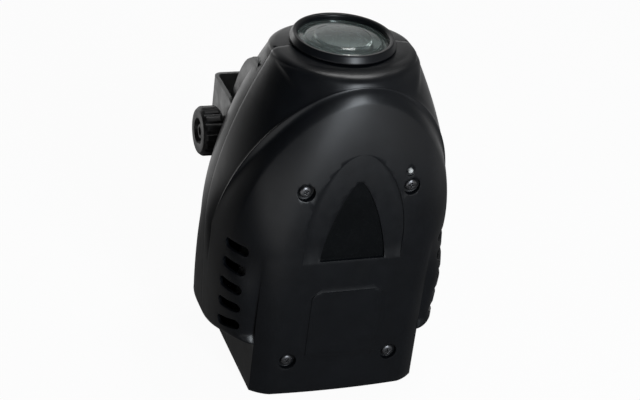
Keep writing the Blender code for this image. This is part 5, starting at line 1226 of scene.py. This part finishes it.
def steel_yoke():
    """The bent strip, its ends rounded by a stencil, with its holes."""
    pivot = at(0, PIVOT_Y, PIVOT_Z)
    strip = solid("steel_yoke", prism(yoke_profile(), -ARM_RADIUS, ARM_RADIUS), pivot)
    past = 5 * MM
    reach, far, tall = ARM_X + YOKE_SHEET + past, YOKE_REACH + YOKE_SHEET + past, ARM_RADIUS + MM
    bow = circle(ARM_RADIUS, 64, (0, 0), pi / 2, pi)
    outline = [(tall, far), (tall, 0), (ARM_RADIUS, 0)] + [(z, y) for y, z in bow[1:-1]]
    outline += [(-ARM_RADIUS, 0), (-tall, 0), (-tall, far)]
    turn = Matrix(((0, 0, 1), (0, 1, 0), (-1, 0, 0))).to_4x4()
    stencil = helper("yoke_stencil", prism(outline, -reach, reach), pivot @ turn)
    boolean(strip, stencil, "INTERSECT")
    low, high = ARM_X - 2 * MM, ARM_X + YOKE_SHEET + 2 * MM
    cut(strip, pivot_rods("yoke_stud_holes", low, high, STUD_THREAD_RADIUS + GAP, 40))
    front_y, back_y = PIVOT_Y + YOKE_REACH - 2 * MM, PIVOT_Y + YOKE_REACH + past
    bolt = [((0, front_y, PIVOT_Z), (0, back_y, PIVOT_Z))]
    cut(strip, rods("yoke_bolt_hole", bolt, BOLT_HOLE_RADIUS, 48))
    slots = bmesh.new()
    for side in (-1, 1):
        low, high = sorted((side * YOKE_SLOT_X[0], side * YOKE_SLOT_X[1]))
        corner = (high, back_y, PIVOT_Z + YOKE_SLOT_HALF)
        add_box(slots, (low, front_y, PIVOT_Z - YOKE_SLOT_HALF), corner)
    cut(strip, helper("yoke_slots", slots))
    bevel(strip, 0.35 * MM, 3, 30)
    dressed(strip, powder_coat(), "tilting_yoke", "black_paint", "yoke")


def clamp_knob(side, body, node_name):
    """A clamp knob: a tapered hub, a finely ribbed disc, and a rim round a sunk middle."""
    length, wide, neck = KNOB_LENGTH, KNOB_RADIUS, KNOB_NECK
    rim, sunk, slope, bank = KNOB_RIM_RADIUS, KNOB_LENGTH - KNOB_SINK, 2 * MM, 1.2 * MM
    profile = [(0, 0), (KNOB_HUB_RADIUS, 0), (KNOB_HUB_RADIUS, neck - bank), (wide - slope, neck)]
    profile += [(wide, neck + slope), (wide, length - 2.2 * MM), (wide - 1.8 * MM, length)]
    profile += [(rim, length), (rim - bank, sunk), (0, sunk + 0.4 * MM)]
    profile = rounded(profile, {4: 0.8 * MM, 5: 0.6 * MM, 6: 0.6 * MM, 7: 0.5 * MM, 8: 0.4 * MM}, 4)
    place = at(side * KNOB_X, PIVOT_Y, PIVOT_Z) @ Matrix.Rotation(side * pi / 2, 4, "Y")
    knob = solid(f"ribbed_{node_name}", turned(profile, 96), place)
    flutes = bmesh.new()
    for x, y in circle(KNOB_FLUTE_CENTRE, KNOB_FLUTES):
        add_rod(flutes, (x, y, neck - 3 * MM), (x, y, length + MM), KNOB_FLUTE_RADIUS)
    cut(knob, helper(f"{node_name}_flutes", flutes, place))
    low, high, taper = sunk - MM, sunk + KNOB_RING_RISE, 0.2 * MM
    inner, outer = KNOB_RING_RADII
    ring = turned([(inner, low), (outer, low), (outer - taper, high), (inner + taper, high)], 48)
    join(knob, helper(f"{node_name}_ring", ring, place))
    bore = bmesh.new()
    add_rod(bore, (0, 0, -MM), (0, 0, STUD_OUTER_X + GAP - KNOB_X), STUD_THREAD_RADIUS + GAP, 32)
    cut(knob, helper(f"{node_name}_bore", bore, place))
    bevel(knob, 0.2 * MM, 2, 38)
    dressed(knob, knob_black(), body, "black_plastic", node_name)


# Finishes of the solids that stay


def numbered(name, count):
    return [f"{name}_{i + 1}" for i in range(count)]


def both(name):
    return [f"{name}_left", f"{name}_right"]


def dress_solids():
    finishes = {
        zinc_sheet: ["base_panel", "chassis_front", "chassis_rear", "led_shelf", "wheel_shelf"],
        zinc_steel: (
            numbered("panel_screw", 4) + both("knob_stud") + ["disc_clip", "bushing_clip", "wheel_motor"]
        ),
        turned_aluminium: numbered("barrel_post", 3) + ["lens_barrel", "heatsink", "led_board"],
        turned_brass: both("pivot_insert"),
        black_rubber: both("friction_washer") + ["lens_seal"],
        lacquered_board: ["control_board", "power_board"],
        clear_glass: ["condenser_lens"],
        emitter_yellow: ["led_emitter"],
        white_moulding: ["gear_ring", "motor_pinion", "wheel_bushing"],
    }
    for name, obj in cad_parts.items():
        made = next((make for make, names in finishes.items() if name in names), dark_moulding)
        obj.data.materials.clear()
        obj.data.materials.append(made())


# Camera, floor and light

EYE = Vector((-0.3708, -0.91415, 0.6605))
HEADING = radians(22.17)
PITCH = radians(29.73)
ROLL = radians(7.41)
FOCAL_LENGTH = 102.28
SENSOR_WIDTH = 36

AMBIENT = 0.16
FLOOR_SIZE = 3
FLOOR_SINK = 0.2 * MM
FLOOR_WHITE = 0.95

# How bright gloss sees the studio by its direction, and the floor by the place. Each stretch is a
# product of ramps along an axis, each with its two ends and its levels there.
STUDIO_STRETCHES = {
    "backdrop": [
        ("Y", (0.78, 0.92), (0.1, 1)), ("X", (-0.8, -0.45), (0.3, 1)), ("X", (0.4, 0.8), (1, 2))
    ],
}
FLOOR_STRETCHES = {
    "behind": [
        ("Y", (0.12, 0.36), (0.1, 1)), ("X", (0.22, 0.55), (1, 0.1)), ("X", (-0.55, -0.22), (0.2, 1))
    ],
    "in front": [("Y", (-0.9, -0.4), (1, 0.02))],
    "right": [("X", (0.2, 0.6), (0, 0.35))],
    "left": [("X", (-0.12, 0.02), (0.9, 0)), ("Y", (-0.32, -0.17), (1, 0))],
}


def set_camera():
    data = bpy.data.cameras.new("view")
    data.lens = FOCAL_LENGTH
    data.sensor_width = SENSOR_WIDTH
    data.clip_start = 0.01
    data.clip_end = 50
    sin_h, cos_h, sin_p, cos_p = sin(HEADING), cos(HEADING), sin(PITCH), cos(PITCH)
    right = Vector((cos_h, -sin_h, 0))
    up = Vector((sin_h * sin_p, cos_h * sin_p, cos_p))
    back = Vector((-sin_h * cos_p, -cos_h * cos_p, sin_p))
    across = right * cos(ROLL) + up * sin(ROLL)
    upward = up * cos(ROLL) - right * sin(ROLL)
    matrix = Matrix((across, upward, back)).transposed().to_4x4()
    matrix.translation = EYE
    camera = linked("view", data)
    camera.matrix_world = matrix
    bpy.context.scene.camera = camera


def reflected(tree, place, stretches):
    """The level of the brightest stretch at a place, which is at least 1 on the camera's rays."""
    axes = node(tree, "SeparateXYZ", {0: place}).outputs
    level = node(tree, "LightPath").outputs["Is Camera Ray"]
    for ramps in stretches.values():
        product = 1.0
        for axis, places, levels in ramps:
            product = times(tree, product, ranged(tree, axes[axis], places, levels))
        level = larger(tree, level, product)
    return level


def show(tree, output, plain, bright, to_camera):
    """Shows the bright shader to gloss and glass, and in a share to the camera, and the plain one to
    all other rays."""
    rays = node(tree, "LightPath").outputs
    gloss = larger(tree, rays["Is Glossy Ray"], rays["Is Transmission Ray"])
    share = larger(tree, times(tree, rays["Is Camera Ray"], to_camera), gloss)
    blend = node(tree, "MixShader", {"Fac": share, 1: plain.outputs[0], 2: bright.outputs[0]})
    tree.links.new(blend.outputs[0], tree.nodes[output].inputs["Surface"])


def set_world():
    world = bpy.data.worlds.new("studio")
    bpy.context.scene.world = world
    world.use_nodes = True
    tree = world.node_tree
    ambient = tree.nodes["Background"]
    feed(tree, ambient, {"Color": WHITE, "Strength": AMBIENT})
    place = node(tree, "TexCoord").outputs["Generated"]
    level = reflected(tree, place, STUDIO_STRETCHES)
    white = node(tree, "Background", {"Color": WHITE, "Strength": level})
    show(tree, "World Output", ambient, white, 1.0)


def set_floor():
    bm = bmesh.new()
    bmesh.ops.create_grid(bm, x_segments=8, y_segments=8, size=FLOOR_SIZE)
    floor = linked("floor", mesh_of("floor", bm))
    floor.location.z = -FLOOR_SINK
    material, tree, shader = new_material("pale_floor")
    place = object_place(tree)
    faint = ranged(tree, noise(tree, place, 4.0), CLOUD_EDGES)
    paint = mixed(tree, faint, (0.9, 0.9, 0.9), (0.93, 0.93, 0.93))
    feed(tree, shader, {"Base Color": paint, "Roughness": 0.8, "Specular IOR Level": 0.1})
    level = reflected(tree, place, FLOOR_STRETCHES)
    white = node(tree, "Emission", {"Color": WHITE, "Strength": level})
    show(tree, "Material Output", shader, white, FLOOR_WHITE)
    floor.data.materials.append(material)


def lamp(name, place, aim_z, size, watts, tint=(1, 1, 1)):
    """A rectangular lamp that looks at a height over the origin."""
    data = bpy.data.lights.new(name, "AREA")
    data.shape = "RECTANGLE"
    data.size, data.size_y = size
    data.energy = watts
    data.color = tint
    aim = (Vector((0, 0, aim_z)) - Vector(place)).to_track_quat("-Z", "Y")
    linked(name, data).matrix_world = Matrix.Translation(place) @ aim.to_matrix().to_4x4()


def set_lights():
    lamp("left_rear", (-0.55, 1.15, 0.22), aim_z=0.17, size=(0.35, 0.35), watts=1.0)
    lamp("front", (0.21, -1.27, 0.56), aim_z=0.17, size=(0.36, 1.0), watts=13.5, tint=(0.88, 0.94, 1.0))
    lamp("overhead", (0.3, 0.3, 1.2), aim_z=0.15, size=(0.28, 0.28), watts=3)


def main():
    set_camera()
    set_world()
    set_floor()
    set_lights()
    dress_solids()
    front_shell()
    window_pane()
    rear_shell()
    case_screws()
    status_lamp()
    lens_collar()
    front_lens()
    steel_yoke()
    clamp_knob(-1, "left_knob", "yoke_knob_left")
    clamp_knob(1, "right_knob", "yoke_knob_right")
    for obj in HELPERS:
        bpy.data.objects.remove(obj)
    bpy.context.scene.view_settings.view_transform = "Standard"


main()
